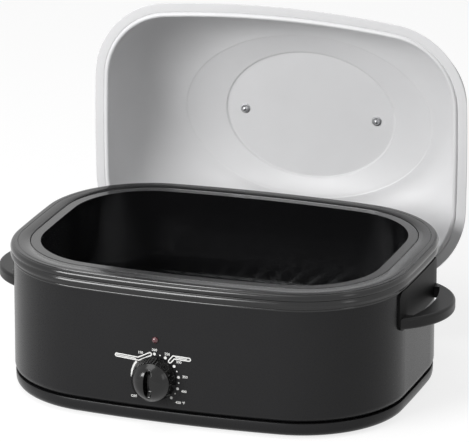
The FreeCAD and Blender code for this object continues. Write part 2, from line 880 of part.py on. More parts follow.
thermostat = new_body("thermostat")
pad(
    thermostat,
    draw_polygon(
        new_sketch(thermostat, offset=dial_z - 20),
        rectangle(dial_x - 22, -half_width, dial_x + 22, shell_sheet + control_depth - dial_wall),
    ),
    40,
)
trim_outside(thermostat, wall_inner, dial_z - 21, 42)
bush_sketch = draw_circle(
    new_sketch(thermostat, "XZ_Plane", dial_wall - shell_sheet - 2), dial_x, dial_z, bush_radius
)
pad(thermostat, bush_sketch, shell_sheet + 2)
spindle_hole = draw_circle(
    new_sketch(thermostat, "XZ_Plane", dial_wall + 1),
    dial_x,
    dial_z,
    spindle_radius + running_gap,
)
pocket(thermostat, spindle_hole, control_depth - 2)
keep(place(thermostat))

pilot_lamp_lens = turned(
    "pilot_lamp_lens",
    [
        (0, 0),
        (lamp_radius, 0),
        (lamp_radius, shell_sheet + 1),
        (lamp_radius * 0.8, shell_sheet + 1.8),
        (lamp_radius * 0.45, shell_sheet + 2.3),
        (0, shell_sheet + 2.5),
    ],
)
keep(place(pilot_lamp_lens, lamp_x, shell_sheet - lamp_wall, lamp_z, TO_FRONT))

pilot_lamp_body = new_body("pilot_lamp_body")
pad(
    pilot_lamp_body,
    draw_circle(
        new_sketch(pilot_lamp_body, "XZ_Plane", lamp_wall - shell_sheet - control_depth + 2),
        lamp_x,
        lamp_z,
        lamp_radius * 2,
    ),
    control_depth,
)
trim_outside(pilot_lamp_body, wall_inner, lamp_z - lamp_radius * 3, lamp_radius * 6)
lamp_seat = draw_circle(
    new_sketch(pilot_lamp_body, "XZ_Plane", lamp_wall), lamp_x, lamp_z, lamp_radius
)
pocket(pilot_lamp_body, lamp_seat, shell_sheet)
keep(place(pilot_lamp_body))

terminal_x = -well_inset * 2
keep(
    box("terminal_block", 44, 18, 14, terminal_x - 22, rear_wall - 75, tray_top),
    "terminal_block",
)

cord_gland = turned(
    "cord_gland",
    [
        (spindle_radius, 0),
        (gland_radius + 2, 0),
        (gland_radius + 2, 2),
        (gland_radius, 2),
        (gland_radius, shell_sheet + 2),
        (gland_radius + 3, shell_sheet + 2.1),
        (gland_radius + 2, shell_sheet + 5),
        (spindle_radius + 1.5, shell_sheet + 9),
        (spindle_radius, shell_sheet + 9),
    ],
)
keep(place(cord_gland, 0, rear_wall - shell_sheet - 2, gland_z, TO_BACK))

# ---------------------------------------------------------------- dial knob and its spindle

knob = new_body("knob")
knob_bore_depth = knob_depth / 2
revolve(
    knob,
    [
        (spindle_radius, 0),
        (spindle_radius * 2.2, 0),
        (spindle_radius * 2.2, knob_depth - 3),
        (knob_radius - 3, knob_depth - 3),
        (knob_base - 4, 3),
        (knob_base - 3, 0),
        (knob_base, 0),
        (knob_base, 2.4),
        (knob_base - 1, 3.4),
        (knob_radius + 2, knob_depth - 5),
        (knob_radius, knob_depth - 4),
        (knob_radius, knob_depth - 1),
        (knob_radius - 1, knob_depth),
        (0, knob_depth),
        (0, knob_bore_depth),
        (spindle_radius, knob_bore_depth),
    ],
)
grip_reach = knob_radius - 2
grip_half = grip_width / 2
pad(
    knob,
    draw_polygon(
        new_sketch(knob, offset=knob_depth - 1),
        [
            (-grip_half, -grip_reach + 3),
            (-grip_half + 2, -grip_reach),
            (grip_half - 2, -grip_reach),
            (grip_half, -grip_reach + 3),
            (grip_half - 1.5, grip_reach - 1),
            (1.5, grip_reach),
            (-1.5, grip_reach),
            (-grip_half + 1.5, grip_reach - 1),
        ],
    ),
    grip_rise + 1,
)
knob_face = -dial_wall - knob_gap
keep(place(knob, dial_x, knob_face, dial_z, TO_FRONT))

spindle_end = knob_face - knob_bore_depth
spindle_start = shell_sheet + control_depth - dial_wall - 6
keep(
    cylinder(
        "knob_shaft",
        spindle_radius,
        spindle_start - spindle_end,
        dial_x,
        spindle_end,
        dial_z,
        Y_AXIS,
    ),
    "knob_shaft",
)

# ---------------------------------------------------------------- end handles

for name, side in SIDES:
    plate = new_body(f"{name}_handle_plate")
    plate_top = shell_top - 1
    plate_sketch = draw_polygon(
        new_sketch(plate, "YZ_Plane", (half_length - 20) * side),
        rectangle(-plate_half, plate_low, plate_half, plate_top),
    )
    pad(plate, plate_sketch, 30, reverse=side < 0)
    fillet(plate, plate.Tip, long_edges(plate.Shape, X_AXIS, lambda p: True), plate_round)
    trim_outside(plate, body_loop(wall_inset - plate_sheet), plate_low - 1, plate_top - plate_low + 2)
    trim_inside(plate, wall_face, plate_low - 1, plate_top - plate_low + 2)
    hole_sketch = new_sketch(plate, "YZ_Plane", (half_length + 5) * side)
    for step in (-1, 1):
        draw_circle(
            hole_sketch, handle_screw_y * step, handle_screw_z, screw_radius + screw_gap
        )
    pocket(plate, hole_sketch, 30, reverse=side < 0)
    keep(place(plate))

    grip = new_body(f"{name}_handle")
    chord_x = half_length - 18
    grip_sketch = draw_segment(
        new_sketch(grip, offset=handle_low), handle_centre, handle_arc, chord_x, side
    )
    pad(grip, grip_sketch, handle_height)
    outer_edges = [
        f"Edge{n}"
        for n, e in enumerate(grip.Shape.Edges, 1)
        if e.Curve.TypeId == "Part::GeomCircle" and e.BoundBox.ZLength < 1
    ]
    fillet(grip, grip.Tip, outer_edges, handle_round)
    trim_inside(
        grip, body_loop(wall_inset - plate_sheet), handle_low - 1, handle_height + 2
    )
    gap_sketch = draw_finger_gap(
        new_sketch(grip, offset=handle_low - 1),
        finger_reach,
        finger_arc,
        finger_half,
        half_length - 15,
        side,
    )
    pocket(grip, gap_sketch, handle_height + 2, reverse=True)
    screw_sketch = new_sketch(grip, "YZ_Plane", (half_length - 25) * side)
    for step in (-1, 1):
        draw_circle(screw_sketch, handle_screw_y * step, handle_screw_z, screw_radius)
    pocket(grip, screw_sketch, 34, reverse=side > 0)
    keep(place(grip))

    screws = []
    for step, place_name in ((-1, "front"), (1, "rear")):
        screw = new_body(f"{name}_handle_screw_{place_name}")
        at = (handle_screw_y * step, handle_screw_z)
        head_x = wall_inner.end_at(handle_screw_y) - 3
        head = draw_circle(new_sketch(screw, "YZ_Plane", head_x * side), *at, screw_head)
        pad(screw, head, 12, reverse=side < 0)
        trim_outside(screw, wall_inner, handle_screw_z - 5, 10)
        shank = draw_circle(new_sketch(screw, "YZ_Plane", head_x * side), *at, screw_radius)
        pad(screw, shank, half_length + 9 - head_x, reverse=side < 0)
        screws.append(place(screw))
    keep(group(f"{name}_handle_screws", screws))

# ---------------------------------------------------------------- rear hinge brackets and pins

for name, side in SIDES:
    bracket = new_body(f"hinge_bracket_{name}")
    middle = hinge_x * side
    plate_sketch = draw_polygon(
        new_sketch(bracket, "XZ_Plane", -(half_width - 25)),
        rectangle(
            middle - bracket_half,
            arm_pivot_z - bracket_half * 0.8,
            middle + bracket_half,
            arm_pivot_z + bracket_half * 0.8,
        ),
    )
    pad(bracket, plate_sketch, 50, reverse=True)
    low, high = arm_pivot_z - 30, 60
    trim_outside(bracket, body_loop(wall_inset - bracket_sheet), low, high)
    ear_start = arm_sheet / 2 + side_gap
    for step in (-1, 1):
        offset = middle + (ear_start if step > 0 else -ear_start - ear_sheet)
        back = half_width - 22
        ear = draw_polygon(
            new_sketch(bracket, "YZ_Plane", offset),
            rectangle(back, arm_pivot_z - ear_radius, arm_pivot_y, arm_pivot_z + ear_radius),
        )
        pad(bracket, ear, ear_sheet)
        boss = draw_circle(
            new_sketch(bracket, "YZ_Plane", offset), arm_pivot_y, arm_pivot_z, ear_radius
        )
        pad(bracket, boss, ear_sheet)
    trim_inside(bracket, wall_face, low, high)
    pin_hole = draw_circle(
        new_sketch(bracket, "YZ_Plane", middle - 20), arm_pivot_y, arm_pivot_z, pin_radius
    )
    pocket(bracket, pin_hole, 40, reverse=True)
    screw_holes = new_sketch(bracket, "XZ_Plane", -half_width)
    for step in (-1, 1):
        draw_circle(
            screw_holes,
            middle + bracket_screw * step,
            bracket_screw_z,
            screw_radius + screw_gap,
        )
    pocket(bracket, screw_holes, 30, reverse=True)
    keep(place(bracket))

screws = []
outer_face = body_loop(wall_inset - bracket_sheet)
for name, side in SIDES:
    for step, place_name in ((-1, "inner"), (1, "outer")):
        screw = new_body(f"hinge_screw_{name}_{place_name}")
        screw_x = (hinge_x + bracket_screw * step) * side
        outside = outer_face.side_at(screw_x) + 2
        at = (screw_x, bracket_screw_z)
        head = draw_circle(new_sketch(screw, "XZ_Plane", -outside), *at, screw_head)
        pad(screw, head, 12)
        trim_inside(screw, outer_face, bracket_screw_z - 5, 10)
        shank = draw_circle(new_sketch(screw, "XZ_Plane", -outside), *at, screw_radius)
        pad(screw, shank, bracket_sheet + shell_sheet + 8)
        screws.append(place(screw))
keep(group("hinge_bracket_screws", screws))

ear_outside = arm_sheet / 2 + side_gap + ear_sheet
pin_profile = rod_profile(
    pin_head, 1.5, pin_radius, ear_outside * 2, pin_head, 1.5
)
lid_pin_profile = rod_profile(
    pin_head, 1.5, pin_radius, (ear_outside + side_gap) * 2, pin_head, 1.5
)
for name, side in SIDES:
    pin = turned(f"hinge_pin_{name}", pin_profile)
    start = hinge_x * side - ear_outside
    keep(place(pin, start, arm_pivot_y, arm_pivot_z, Rotation(Z_AXIS, X_AXIS)))

# ---------------------------------------------------------------- swing arms

for name, side in SIDES:
    arm = new_body(f"hinge_arm_{name}")
    start = hinge_x * side - arm_sheet / 2
    bar = draw_polygon(
        new_sketch(arm, "YZ_Plane", start),
        [
            (open_pivot_y - arm_half_width, open_pivot_z),
            (open_pivot_y + arm_half_width, open_pivot_z),
            (arm_pivot_y + arm_half_width, arm_pivot_z),
            (arm_pivot_y - arm_half_width, arm_pivot_z),
        ],
    )
    pad(arm, bar, arm_sheet)
    for eye_y, eye_z in ((open_pivot_y, open_pivot_z), (arm_pivot_y, arm_pivot_z)):
        eye = draw_circle(new_sketch(arm, "YZ_Plane", start), eye_y, eye_z, ear_radius)
        pad(arm, eye, arm_sheet)
    holes = new_sketch(arm, "YZ_Plane", start - 1)
    draw_circle(holes, open_pivot_y, open_pivot_z, pin_radius)
    draw_circle(holes, arm_pivot_y, arm_pivot_z, pin_radius + running_gap)
    pocket(arm, holes, arm_sheet + 2, reverse=True)
    keep(place(arm))

tie_y = (open_pivot_y + arm_pivot_y) / 2
tie_z = (open_pivot_z + arm_pivot_z) / 2
keep(
    cylinder(
        "arm_tie_rod",
        tie_radius,
        hinge_x * 2 - arm_sheet,
        arm_sheet / 2 - hinge_x,
        tie_y,
        tie_z,
        X_AXIS,
    ),
    "arm_tie_rod",
)

for name, side in SIDES:
    pin = turned(f"lid_pin_{name}", lid_pin_profile)
    start = hinge_x * side - ear_outside - side_gap
    keep(place(pin, start, open_pivot_y, open_pivot_z, Rotation(Z_AXIS, X_AXIS)))

# ---------------------------------------------------------------- lid

crown_loop = Loop(crown_half_length, crown_half_width, crown_corner, crown_bow, crown_bow)
dome_foot = lid_flange + lid_bead

# Rising outlines of the dome's inner face: height, inset at the ends, inset at the sides, corner,
# and how far out and up the outer face lies, in sheet thicknesses.
DOME = (
    (0, 0, 0, 96, 1.0, 0.0),
    (0.14, 2, 2, 95, 0.99, 0.1),
    (0.28, 6, 6, 93, 0.97, 0.22),
    (0.42, 12, 12, 90, 0.93, 0.36),
    (0.55, 21, 21, 88, 0.87, 0.5),
    (0.66, 32, 31, 85, 0.8, 0.6),
    (0.76, 46, 43, 82, 0.72, 0.7),
    (0.85, 63, 56, 79, 0.6, 0.8),
    (0.93, 85, 69, 76, 0.45, 0.9),
)


def dome_levels(outward):
    """Heights and outlines of the dome: its inner face, or its outer face one sheet away."""
    levels = []
    for share, end_step, side_step, corner, out, up in DOME:
        grow = lid_sheet * (out * outward)
        length = lid_half_length - dome_foot - end_step + grow
        width = lid_half_width - dome_foot - side_step + grow
        loop = Loop(length, width, grow + corner, side_bow - side_step * 8, end_bow - end_step * 20)
        levels.append((lid_depth * share + lid_sheet * (up * outward), loop))
    edge = lid_sheet * (0.3 * outward)
    levels.append((lid_depth + lid_sheet * outward, crown_loop.inset(-edge)))
    return levels


lid_shell = new_body("lid_shell")
loft(lid_shell, dome_levels(1))
loft(lid_shell, dome_levels(0), subtract=True)
flange_z = lid_flange_rise
pad(
    lid_shell,
    draw_ring(
        new_sketch(lid_shell, offset=flange_z),
        lid_loop(0),
        lid_loop(dome_foot - lid_sheet / 2),
    ),
    lid_sheet,
)
pad(
    lid_shell,
    draw_ring(
        new_sketch(lid_shell),
        lid_loop(lid_flange),
        lid_loop(dome_foot - lid_sheet / 2),
    ),
    flange_z + lid_sheet,
)
pocket(
    lid_shell,
    draw_ring(
        new_sketch(lid_shell, offset=lid_sheet),
        lid_loop(lid_flange + lid_sheet),
        lid_loop(dome_foot - lid_sheet * 2),
    ),
    flange_z + 1,
    reverse=True,
)
crown_holes = new_sketch(lid_shell, offset=lid_depth - 5)
for _, side in SIDES:
    draw_circle(crown_holes, lid_screw_x * side, 0, lid_screw_radius + screw_gap)
pocket(lid_shell, crown_holes, lid_sheet + 10, reverse=True)
for _, side in SIDES:
    vent = draw_polygon(
        new_sketch(lid_shell, offset=lid_depth * 0.7),
        rectangle(vent_x * side - 5, -1.5, vent_x * side + 5, 1.5),
    )
    pocket(lid_shell, vent, lid_depth * 0.3 + 5, reverse=True)
tab_holes = new_sketch(lid_shell, offset=flange_z - 1)
tab_rivet_y = lid_loop(lid_flange / 2).side_at(hinge_x)
tab_rivet_step = hinge_x / 18
for _, side in SIDES:
    for step in (-1, 1):
        hole_x = hinge_x * side + tab_rivet_step * step
        draw_circle(tab_holes, hole_x, tab_rivet_y, screw_radius / 2)
pocket(lid_shell, tab_holes, lid_sheet + 2, reverse=True)
keep(place_on_lid(lid_shell))

crown_top = lid_depth + lid_sheet
bar_base = crown_top + lid_handle_rise
bar_top = bar_base + lid_handle_bar
lid_handle = new_body("lid_handle")
bar_bend = lid_handle_half - 16
pad(
    lid_handle,
    draw_polygon(
        new_sketch(lid_handle, "XZ_Plane"),
        [
            (-lid_handle_half, bar_base - 4),
            (-lid_handle_half + 12, bar_base - 6),
            (-bar_bend + 14, bar_base),
            (bar_bend - 14, bar_base),
            (lid_handle_half - 12, bar_base - 6),
            (lid_handle_half, bar_base - 4),
            (bar_bend, bar_top - 1),
            (bar_bend - 24, bar_top + 2),
            (24 - bar_bend, bar_top + 2),
            (-bar_bend, bar_top - 1),
        ],
    ),
    lid_handle_width,
    midplane=True,
)
fillet(
    lid_handle,
    lid_handle.Tip,
    long_edges(lid_handle.Shape, X_AXIS, lambda p: p.z > bar_top.value),
    lid_handle_bar / 4,
)
bar_holes = new_sketch(lid_handle, offset=bar_base - 10)
for _, side in SIDES:
    draw_circle(bar_holes, lid_screw_x * side, 0, lid_screw_radius)
pocket(lid_handle, bar_holes, 17, reverse=True)
post_radius = lid_handle_width / 2.6
post_seat = new_sketch(lid_handle, offset=bar_base - 12)
for _, side in SIDES:
    draw_circle(post_seat, lid_screw_x * side, 0, post_radius)
pocket(lid_handle, post_seat, 12, reverse=True)
keep(place_on_lid(lid_handle))

posts, lid_screws = [], []
for name, side in SIDES:
    post = turned(
        f"lid_handle_post_{name}",
        [
            (lid_screw_radius + screw_gap, 0),
            (post_radius + 2, 0),
            (post_radius, 4),
            (post_radius, lid_handle_rise),
            (lid_screw_radius + screw_gap, lid_handle_rise),
        ],
    )
    posts.append(place_on_lid(post, lid_screw_x * side, 0, crown_top))
    screw = turned(
        f"lid_screw_{name}",
        [
            (0, -5.5),
            (2.6, -5),
            (4.6, -3.4),
            (5.4, -1.2),
            (7, -1),
            (7, 0),
            (lid_screw_radius, 0),
            (lid_screw_radius, lid_sheet + lid_handle_rise + 6),
            (0, lid_sheet + lid_handle_rise + 6),
        ],
    )
    lid_screws.append(place_on_lid(screw, lid_screw_x * side, 0, lid_depth))
keep(group("lid_handle_posts", posts))
keep(group("lid_screws", lid_screws))

tab_rivets = []
strap_base = lid_flange_rise + lid_sheet
strap_sheet = as_size(2)
for name, side in SIDES:
    tab = new_body(f"lid_hinge_tab_{name}")
    middle = hinge_x * side
    strap_half = ear_outside + 4
    strap_back = hinge_back + arm_half_width
    strap_front = lid_loop(lid_flange - 1).side_at(hinge_x + strap_half)
    strap = draw_polygon(
        new_sketch(tab, offset=strap_base),
        rectangle(middle - strap_half, strap_front, middle + strap_half, strap_back),
    )
    pad(tab, strap, strap_sheet)
    leg_front = hinge_back - arm_half_width
    for step in (-1, 1):
        offset = middle + (ear_start if step > 0 else -ear_start - ear_sheet)
        leg = draw_polygon(
            new_sketch(tab, "YZ_Plane", offset),
            rectangle(leg_front, -hinge_drop, strap_back, strap_base + 1),
        )
        pad(tab, leg, ear_sheet)
        knuckle = draw_circle(
            new_sketch(tab, "YZ_Plane", offset), hinge_back, -hinge_drop, arm_half_width
        )
        pad(tab, knuckle, ear_sheet)
    hole = draw_circle(
        new_sketch(tab, "YZ_Plane", middle - 20),
        hinge_back,
        -hinge_drop,
        pin_radius + running_gap,
    )
    pocket(tab, hole, 40, reverse=True)
    rivet_holes = new_sketch(tab, offset=strap_base - 1)
    for step in (-1, 1):
        draw_circle(
            rivet_holes, middle + tab_rivet_step * step, tab_rivet_y, screw_radius / 2
        )
    pocket(tab, rivet_holes, strap_sheet + 2, reverse=True)
    keep(place_on_lid(tab))
    for step, place_name in ((-1, "low"), (1, "high")):
        rivet = turned(
            f"tab_rivet_{name}_{place_name}",
            rod_profile(
                screw_radius,
                0.8,
                screw_radius / 2,
                lid_sheet + strap_sheet,
                screw_radius,
                1,
            ),
        )
        rivet_at_x = middle + tab_rivet_step * step
        tab_rivets.append(place_on_lid(rivet, rivet_at_x, tab_rivet_y, lid_flange_rise))
keep(group("lid_tab_rivets", tab_rivets))

# ---------------------------------------------------------------- roasting pan

roasting_pan = new_body("roasting_pan")
pan_face, pan_bore = body_loop(pan_inset), body_loop(pan_inset + pan_sheet)
pan_edge = body_loop(seat_inset + pan_gap)
pan_seat_z = shelf_top + pan_seat
pan_top = pan_seat_z + pan_rim
pan_inside = pan_floor + pan_sheet
pad(
    roasting_pan,
    draw_loop(new_sketch(roasting_pan, offset=pan_floor), pan_face),
    pan_top - pan_floor,
)
trim_inside(roasting_pan, pan_bore, pan_inside, pan_top - pan_floor)
fillet(
    roasting_pan,
    roasting_pan.Tip,
    edges_at(roasting_pan.Shape, pan_inside, pan_bore),
    pan_round - pan_sheet,
)
fillet(
    roasting_pan,
    roasting_pan.Tip,
    edges_at(roasting_pan.Shape, pan_floor, pan_face),
    pan_round,
)
pad(
    roasting_pan,
    draw_ring(new_sketch(roasting_pan, offset=pan_seat_z), pan_edge, pan_face),
    pan_rim,
)
rim_edges = edges_at(roasting_pan.Shape, pan_seat_z, pan_edge)
rim_edges += edges_at(roasting_pan.Shape, pan_top, pan_edge)
rim_edges += edges_at(roasting_pan.Shape, pan_top, pan_bore)
fillet(roasting_pan, roasting_pan.Tip, rim_edges[:16], pan_rim_round)
keep(place(roasting_pan))

# ---------------------------------------------------------------- wire rack

rack_loop = body_loop(rack_inset)
rack_z = pan_inside + rack_seat + rack_height
ring_body = new_body("rack_ring")
pad(
    ring_body,
    draw_ring(
        new_sketch(ring_body, offset=rack_z - rack_wire),
        body_loop(rack_inset - rack_wire),
        body_loop(rack_inset + rack_wire),
    ),
    rack_wire * 2,
)
place(ring_body)

rack_pieces = [ring_body]
cross_z = rack_z + rack_wire + cross_wire * 0.4
for number in range(-5, 6):
    cross_x = cross_step * number
    reach = rack_loop.side_at(cross_x)
    rack_pieces.append(
        cylinder(f"cross_{number + 6}", cross_wire, reach * 2, cross_x, -reach, cross_z, Y_AXIS)
    )
long_z = cross_z - cross_wire * 2 - running_gap
for number in range(-1, 2):
    long_y = long_step * number
    reach = rack_loop.end_at(long_y)
    rack_pieces.append(
        cylinder(f"long_{number + 2}", cross_wire, reach * 2, -reach, long_y, long_z, X_AXIS)
    )
leg_x, leg_reach = cross_step * 4.5, rack_loop.side_at(cross_step * 4.5)
for number, (i, j) in enumerate(((1, -1), (1, 1), (-1, 1), (-1, -1)), 1):
    leg_height = rack_height + rack_wire * 0.5
    rack_pieces.append(
        cylinder(
            f"rack_leg_{number}",
            rack_wire,
            leg_height,
            leg_x * i,
            leg_reach * j,
            pan_inside + rack_seat,
        )
    )

rack_frame = combine("MultiFuse", "rack_frame", rack_pieces)
keep(rack_frame)

# Two lugs welded to each end of the rack, with a stub pin between each lug and its handle.
bail_z = cross_z + cross_wire + bail_wire + rack_seat
bail_x = rack_loop.end_at(0) - rack_wire - 6
eye_half = bail_wire + 0.8
lug_inner = bail_half + eye_half + side_gap
lug_sheet = as_size(3)
lugs = []
for name, side in SIDES:
    for step, place_name in ((-1, "front"), (1, "rear")):
        lug_y = lug_inner * step if step > 0 else -lug_inner - lug_sheet
        low_x = (bail_x - 4) if side > 0 else -(rack_loop.end_at(0))
        lug_length = rack_loop.end_at(0) - bail_x + 4
        lug_low = rack_z - rack_wire * 0.5
        sheet_piece = box(
            f"{name}_lug_{place_name}",
            lug_length,
            lug_sheet,
            bail_z + 4 - lug_low,
            low_x,
            lug_y,
            lug_low,
        )
        saddle = combine("Cut", f"{name}_saddle_{place_name}", [sheet_piece, ring_body])
        stub = lug_sheet + side_gap + eye_half * 2
        stub_y = (bail_half - eye_half) if step > 0 else -(bail_half - eye_half) - stub
        pin = cylinder(
            f"{name}_stub_{place_name}", bail_wire, stub, bail_x * side, stub_y, bail_z, Y_AXIS
        )
        lugs.append(combine("MultiFuse", f"{name}_lug_pin_{place_name}", [saddle, pin]))
keep(group("rack_lugs", lugs))


for name, side in SIDES:
    pieces = []
    for step, place_name in ((-1, "front"), (1, "rear")):
        eye_y = (bail_half - eye_half) if step > 0 else -(bail_half + eye_half)
        pieces.append(
            cylinder(
                f"{name}_eye_{place_name}",
                bail_eye,
                eye_half * 2,
                bail_x * side,
                eye_y,
                bail_z,
                Y_AXIS,
            )
        )
        leg_y = bail_half * step
        low_x = (bail_x - bail_length) if side > 0 else -bail_x
        pieces.append(
            cylinder(
                f"{name}_bail_leg_{place_name}",
                bail_wire,
                bail_length,
                low_x,
                leg_y,
                bail_z,
                X_AXIS,
            )
        )
    bar_x = (bail_x - bail_length) * side
    pieces.append(
        cylinder(
            f"{name}_bail_bar",
            bail_wire * 1.1,
            (bail_half + bail_wire * 1.3) * 2,
            bar_x,
            -bail_half - bail_wire * 1.3,
            bail_z,
            Y_AXIS,
        )
    )
    solid = combine("MultiFuse", f"rack_handle_{name}_solid", pieces)
    bore = cylinder(
        f"{name}_eye_bore",
        bail_wire + running_gap,
        (bail_half + bail_wire * 2) * 2,
        bail_x * side,
        -bail_half - bail_wire * 2,
        bail_z,
        Y_AXIS,
    )
    keep(combine("Cut", f"rack_handle_{name}", [solid, bore]))

# ---------------------------------------------------------------- checks and export

document.recompute()
for item in document.Objects:
    if "Invalid" in item.State or "Error" in item.State:
        raise ValueError(f"{item.Label} has not recomputed: {item.State}")
for item in nodes:
    shape = item.Shape
    if shape.isNull() or not shape.isValid() or not shape.Solids:
        raise ValueError(f"{item.Label} is not a valid solid")
    if any(solid.Volume <= 0 for solid in shape.Solids):
        raise ValueError(f"{item.Label} has a solid without volume")

os.makedirs("parts", exist_ok=True)
for item in nodes:
    item.Shape.exportStep(f"parts/{item.Label}.step")
whole = Part.makeCompound([item.Shape for item in nodes])
print("nodes", len(nodes), whole.BoundBox)
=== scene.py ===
# %% [markdown]
# # An electric roaster oven, lid open
#
# The oven is an oblong box of black coated steel with a black plastic rim, a lift-out pan, a dial
# on its front wall and a domed lid that hangs open behind it.  Its rigid pieces arrive as solids in
# one shared frame.  This file gives them their finishes, draws five of them again with more form
# (the lid's sheet, the rim, the base tray, the dial knob and the lamp's lens), prints the dial's
# scale on the wall, and sets up a plain bright studio.

# %% Load the frame
import math

import bpy
import mathutils
import numpy as np
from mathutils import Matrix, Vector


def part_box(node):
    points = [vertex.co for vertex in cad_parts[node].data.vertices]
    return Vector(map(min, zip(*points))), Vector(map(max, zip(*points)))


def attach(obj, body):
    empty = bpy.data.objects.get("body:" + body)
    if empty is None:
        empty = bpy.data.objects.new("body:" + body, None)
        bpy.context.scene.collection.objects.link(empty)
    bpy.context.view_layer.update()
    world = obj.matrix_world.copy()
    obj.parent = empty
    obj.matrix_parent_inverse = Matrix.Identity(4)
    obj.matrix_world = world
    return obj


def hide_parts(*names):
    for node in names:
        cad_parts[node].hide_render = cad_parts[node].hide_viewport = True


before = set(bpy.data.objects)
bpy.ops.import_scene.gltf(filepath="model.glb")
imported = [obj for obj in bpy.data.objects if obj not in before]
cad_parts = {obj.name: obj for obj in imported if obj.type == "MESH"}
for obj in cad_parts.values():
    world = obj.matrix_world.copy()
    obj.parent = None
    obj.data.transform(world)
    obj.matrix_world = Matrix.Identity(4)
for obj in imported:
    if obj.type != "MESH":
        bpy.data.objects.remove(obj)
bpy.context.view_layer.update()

# %% [markdown]
# ## Measures that everything shares
#
# Every place is worked out from the frame, in metres.  The front wall is a shallow arc seen from
# above, so anything printed on it needs that arc's depth at each x.

# %% Shared measures
MM = 0.001
FRONT_BOW = 1470.5 * MM


def low_high(box):
    """The low and the high corner of a box, as arrays."""
    return tuple(np.array(corner) for corner in box)


SHELL_LOW, SHELL_HIGH = low_high(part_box("outer_shell"))
OVEN_MIDDLE = (SHELL_LOW + SHELL_HIGH) / 2
KNOB_LOW, KNOB_HIGH = low_high(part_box("knob"))
DIAL = (KNOB_LOW + KNOB_HIGH) / 2
LID_LOW, LID_HIGH = low_high(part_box("lid_shell"))


def front_wall(x):
    """Depth of the front wall: an arc of radius R whose nearest point is at x = 0,
    y = nearest + R - sqrt(R^2 - x^2)."""
    return SHELL_LOW[1] + FRONT_BOW - np.sqrt(FRONT_BOW**2 - np.asarray(x) ** 2)


print("oven middle", OVEN_MIDDLE.round(4), "dial", DIAL.round(4))

# %% [markdown]
# ## Helpers for materials
#
# Colours are given as sRGB hex values, but shaders work in linear light, so one function
# turns the one into the other.  Another adds a node, with its settings and its links, in one call,
# and three more build on it: a colour between two, a value between two, and the shader at the end.


# %% Colour and node helpers
def linear(code):
    """Linear RGBA of an sRGB hex code: c / 12.92 below 0.04045, else ((c + 0.055) / 1.055)^2.4."""
    c = np.array([int(code[i : i + 2], 16) for i in (1, 3, 5)]) / 255
    light = np.where(c <= 0.04045, c / 12.92, ((c + 0.055) / 1.055) ** 2.4)
    return (*light.tolist(), 1.0)


def add(tree, kind, links=None, **settings):
    """Add a node; each link is an input's name or number with a value or another output."""
    node = tree.nodes.new(kind)
    for name, value in settings.items():
        setattr(node, name, value)
    for name, value in (links or {}).items():
        if isinstance(value, bpy.types.NodeSocket):
            tree.links.new(value, node.inputs[name])
        else:
            node.inputs[name].default_value = value
    return node


def new_material(name):
    """An empty material with its output node: returns the material, its tree and the output."""
    material = bpy.data.materials.new(name)
    material.use_nodes = True
    material.node_tree.nodes.clear()
    return material, material.node_tree, add(material.node_tree, "ShaderNodeOutputMaterial")


def colour_between(tree, factor, first, last):
    """A colour that runs from one hex code to another as the factor runs from 0 to 1."""
    ends = {0: factor, 6: linear(first), 7: linear(last)}
    return add(tree, "ShaderNodeMix", ends, data_type="RGBA").outputs[2]


def value_between(tree, factor, low, high):
    """A value that runs from low to high as the factor runs from 0 to 1."""
    return add(tree, "ShaderNodeMapRange", {0: factor, 3: low, 4: high}).outputs[0]


def principled(tree, output, **inputs):
    """The one shader of a material, its inputs named with _ for a space, joined to the output."""
    named = {name.replace("_", " "): value for name, value in inputs.items()}
    shader = add(tree, "ShaderNodeBsdfPrincipled", named)
    tree.links.new(shader.outputs[0], output.inputs["Surface"])


print("black coat, linear", [round(value, 4) for value in linear("#1B1B1C")[:3]])

# %% [markdown]
# ## Coated steel, moulded plastic and enamel
#
# The oven's wall is sheet steel with a baked black coating: smooth, with a faint orange peel that
# softens what it mirrors.  The rim, the handles and the knob are black moulded plastic, each with a
# spark texture and a gloss of its own.  One recipe serves all of them: a grain of a real size in
# millimetres drives a small bump and a small change of gloss, and a broad cloud shifts the colour.

# %% Coated and moulded finishes
CLOUD_MM, DENT_MM = 60.0, 0.05
GLOSS_BELOW, GLOSS_ABOVE = 0.03, 0.05
COAT_ROUGHNESS = 0.12


def moulded(name, dark, pale, roughness, grain_mm, bump, coat=0.0, specular=0.5):
    """A dielectric with a grain: colour runs from dark to pale in broad clouds about 60 mm wide."""
    material, tree, output = new_material(name)
    place = add(tree, "ShaderNodeTexCoord").outputs["Object"]
    cloud, grain = (
        add(tree, "ShaderNodeTexNoise", {"Vector": place, "Scale": 1000 / size, "Detail": 2.0})
        for size in (CLOUD_MM, grain_mm)
    )
    dent = {"Height": grain.outputs["Fac"], "Strength": bump, "Distance": DENT_MM * MM}
    principled(
        tree,
        output,
        Base_Color=colour_between(tree, cloud.outputs["Fac"], dark, pale),
        Roughness=value_between(
            tree, grain.outputs["Fac"], roughness - GLOSS_BELOW, roughness + GLOSS_ABOVE
        ),
        Normal=add(tree, "ShaderNodeBump", dent).outputs[0],
        IOR=1.5,
        Coat_Weight=coat,
        Coat_Roughness=COAT_ROUGHNESS,
        Specular_IOR_Level=specular,
    )
    return material


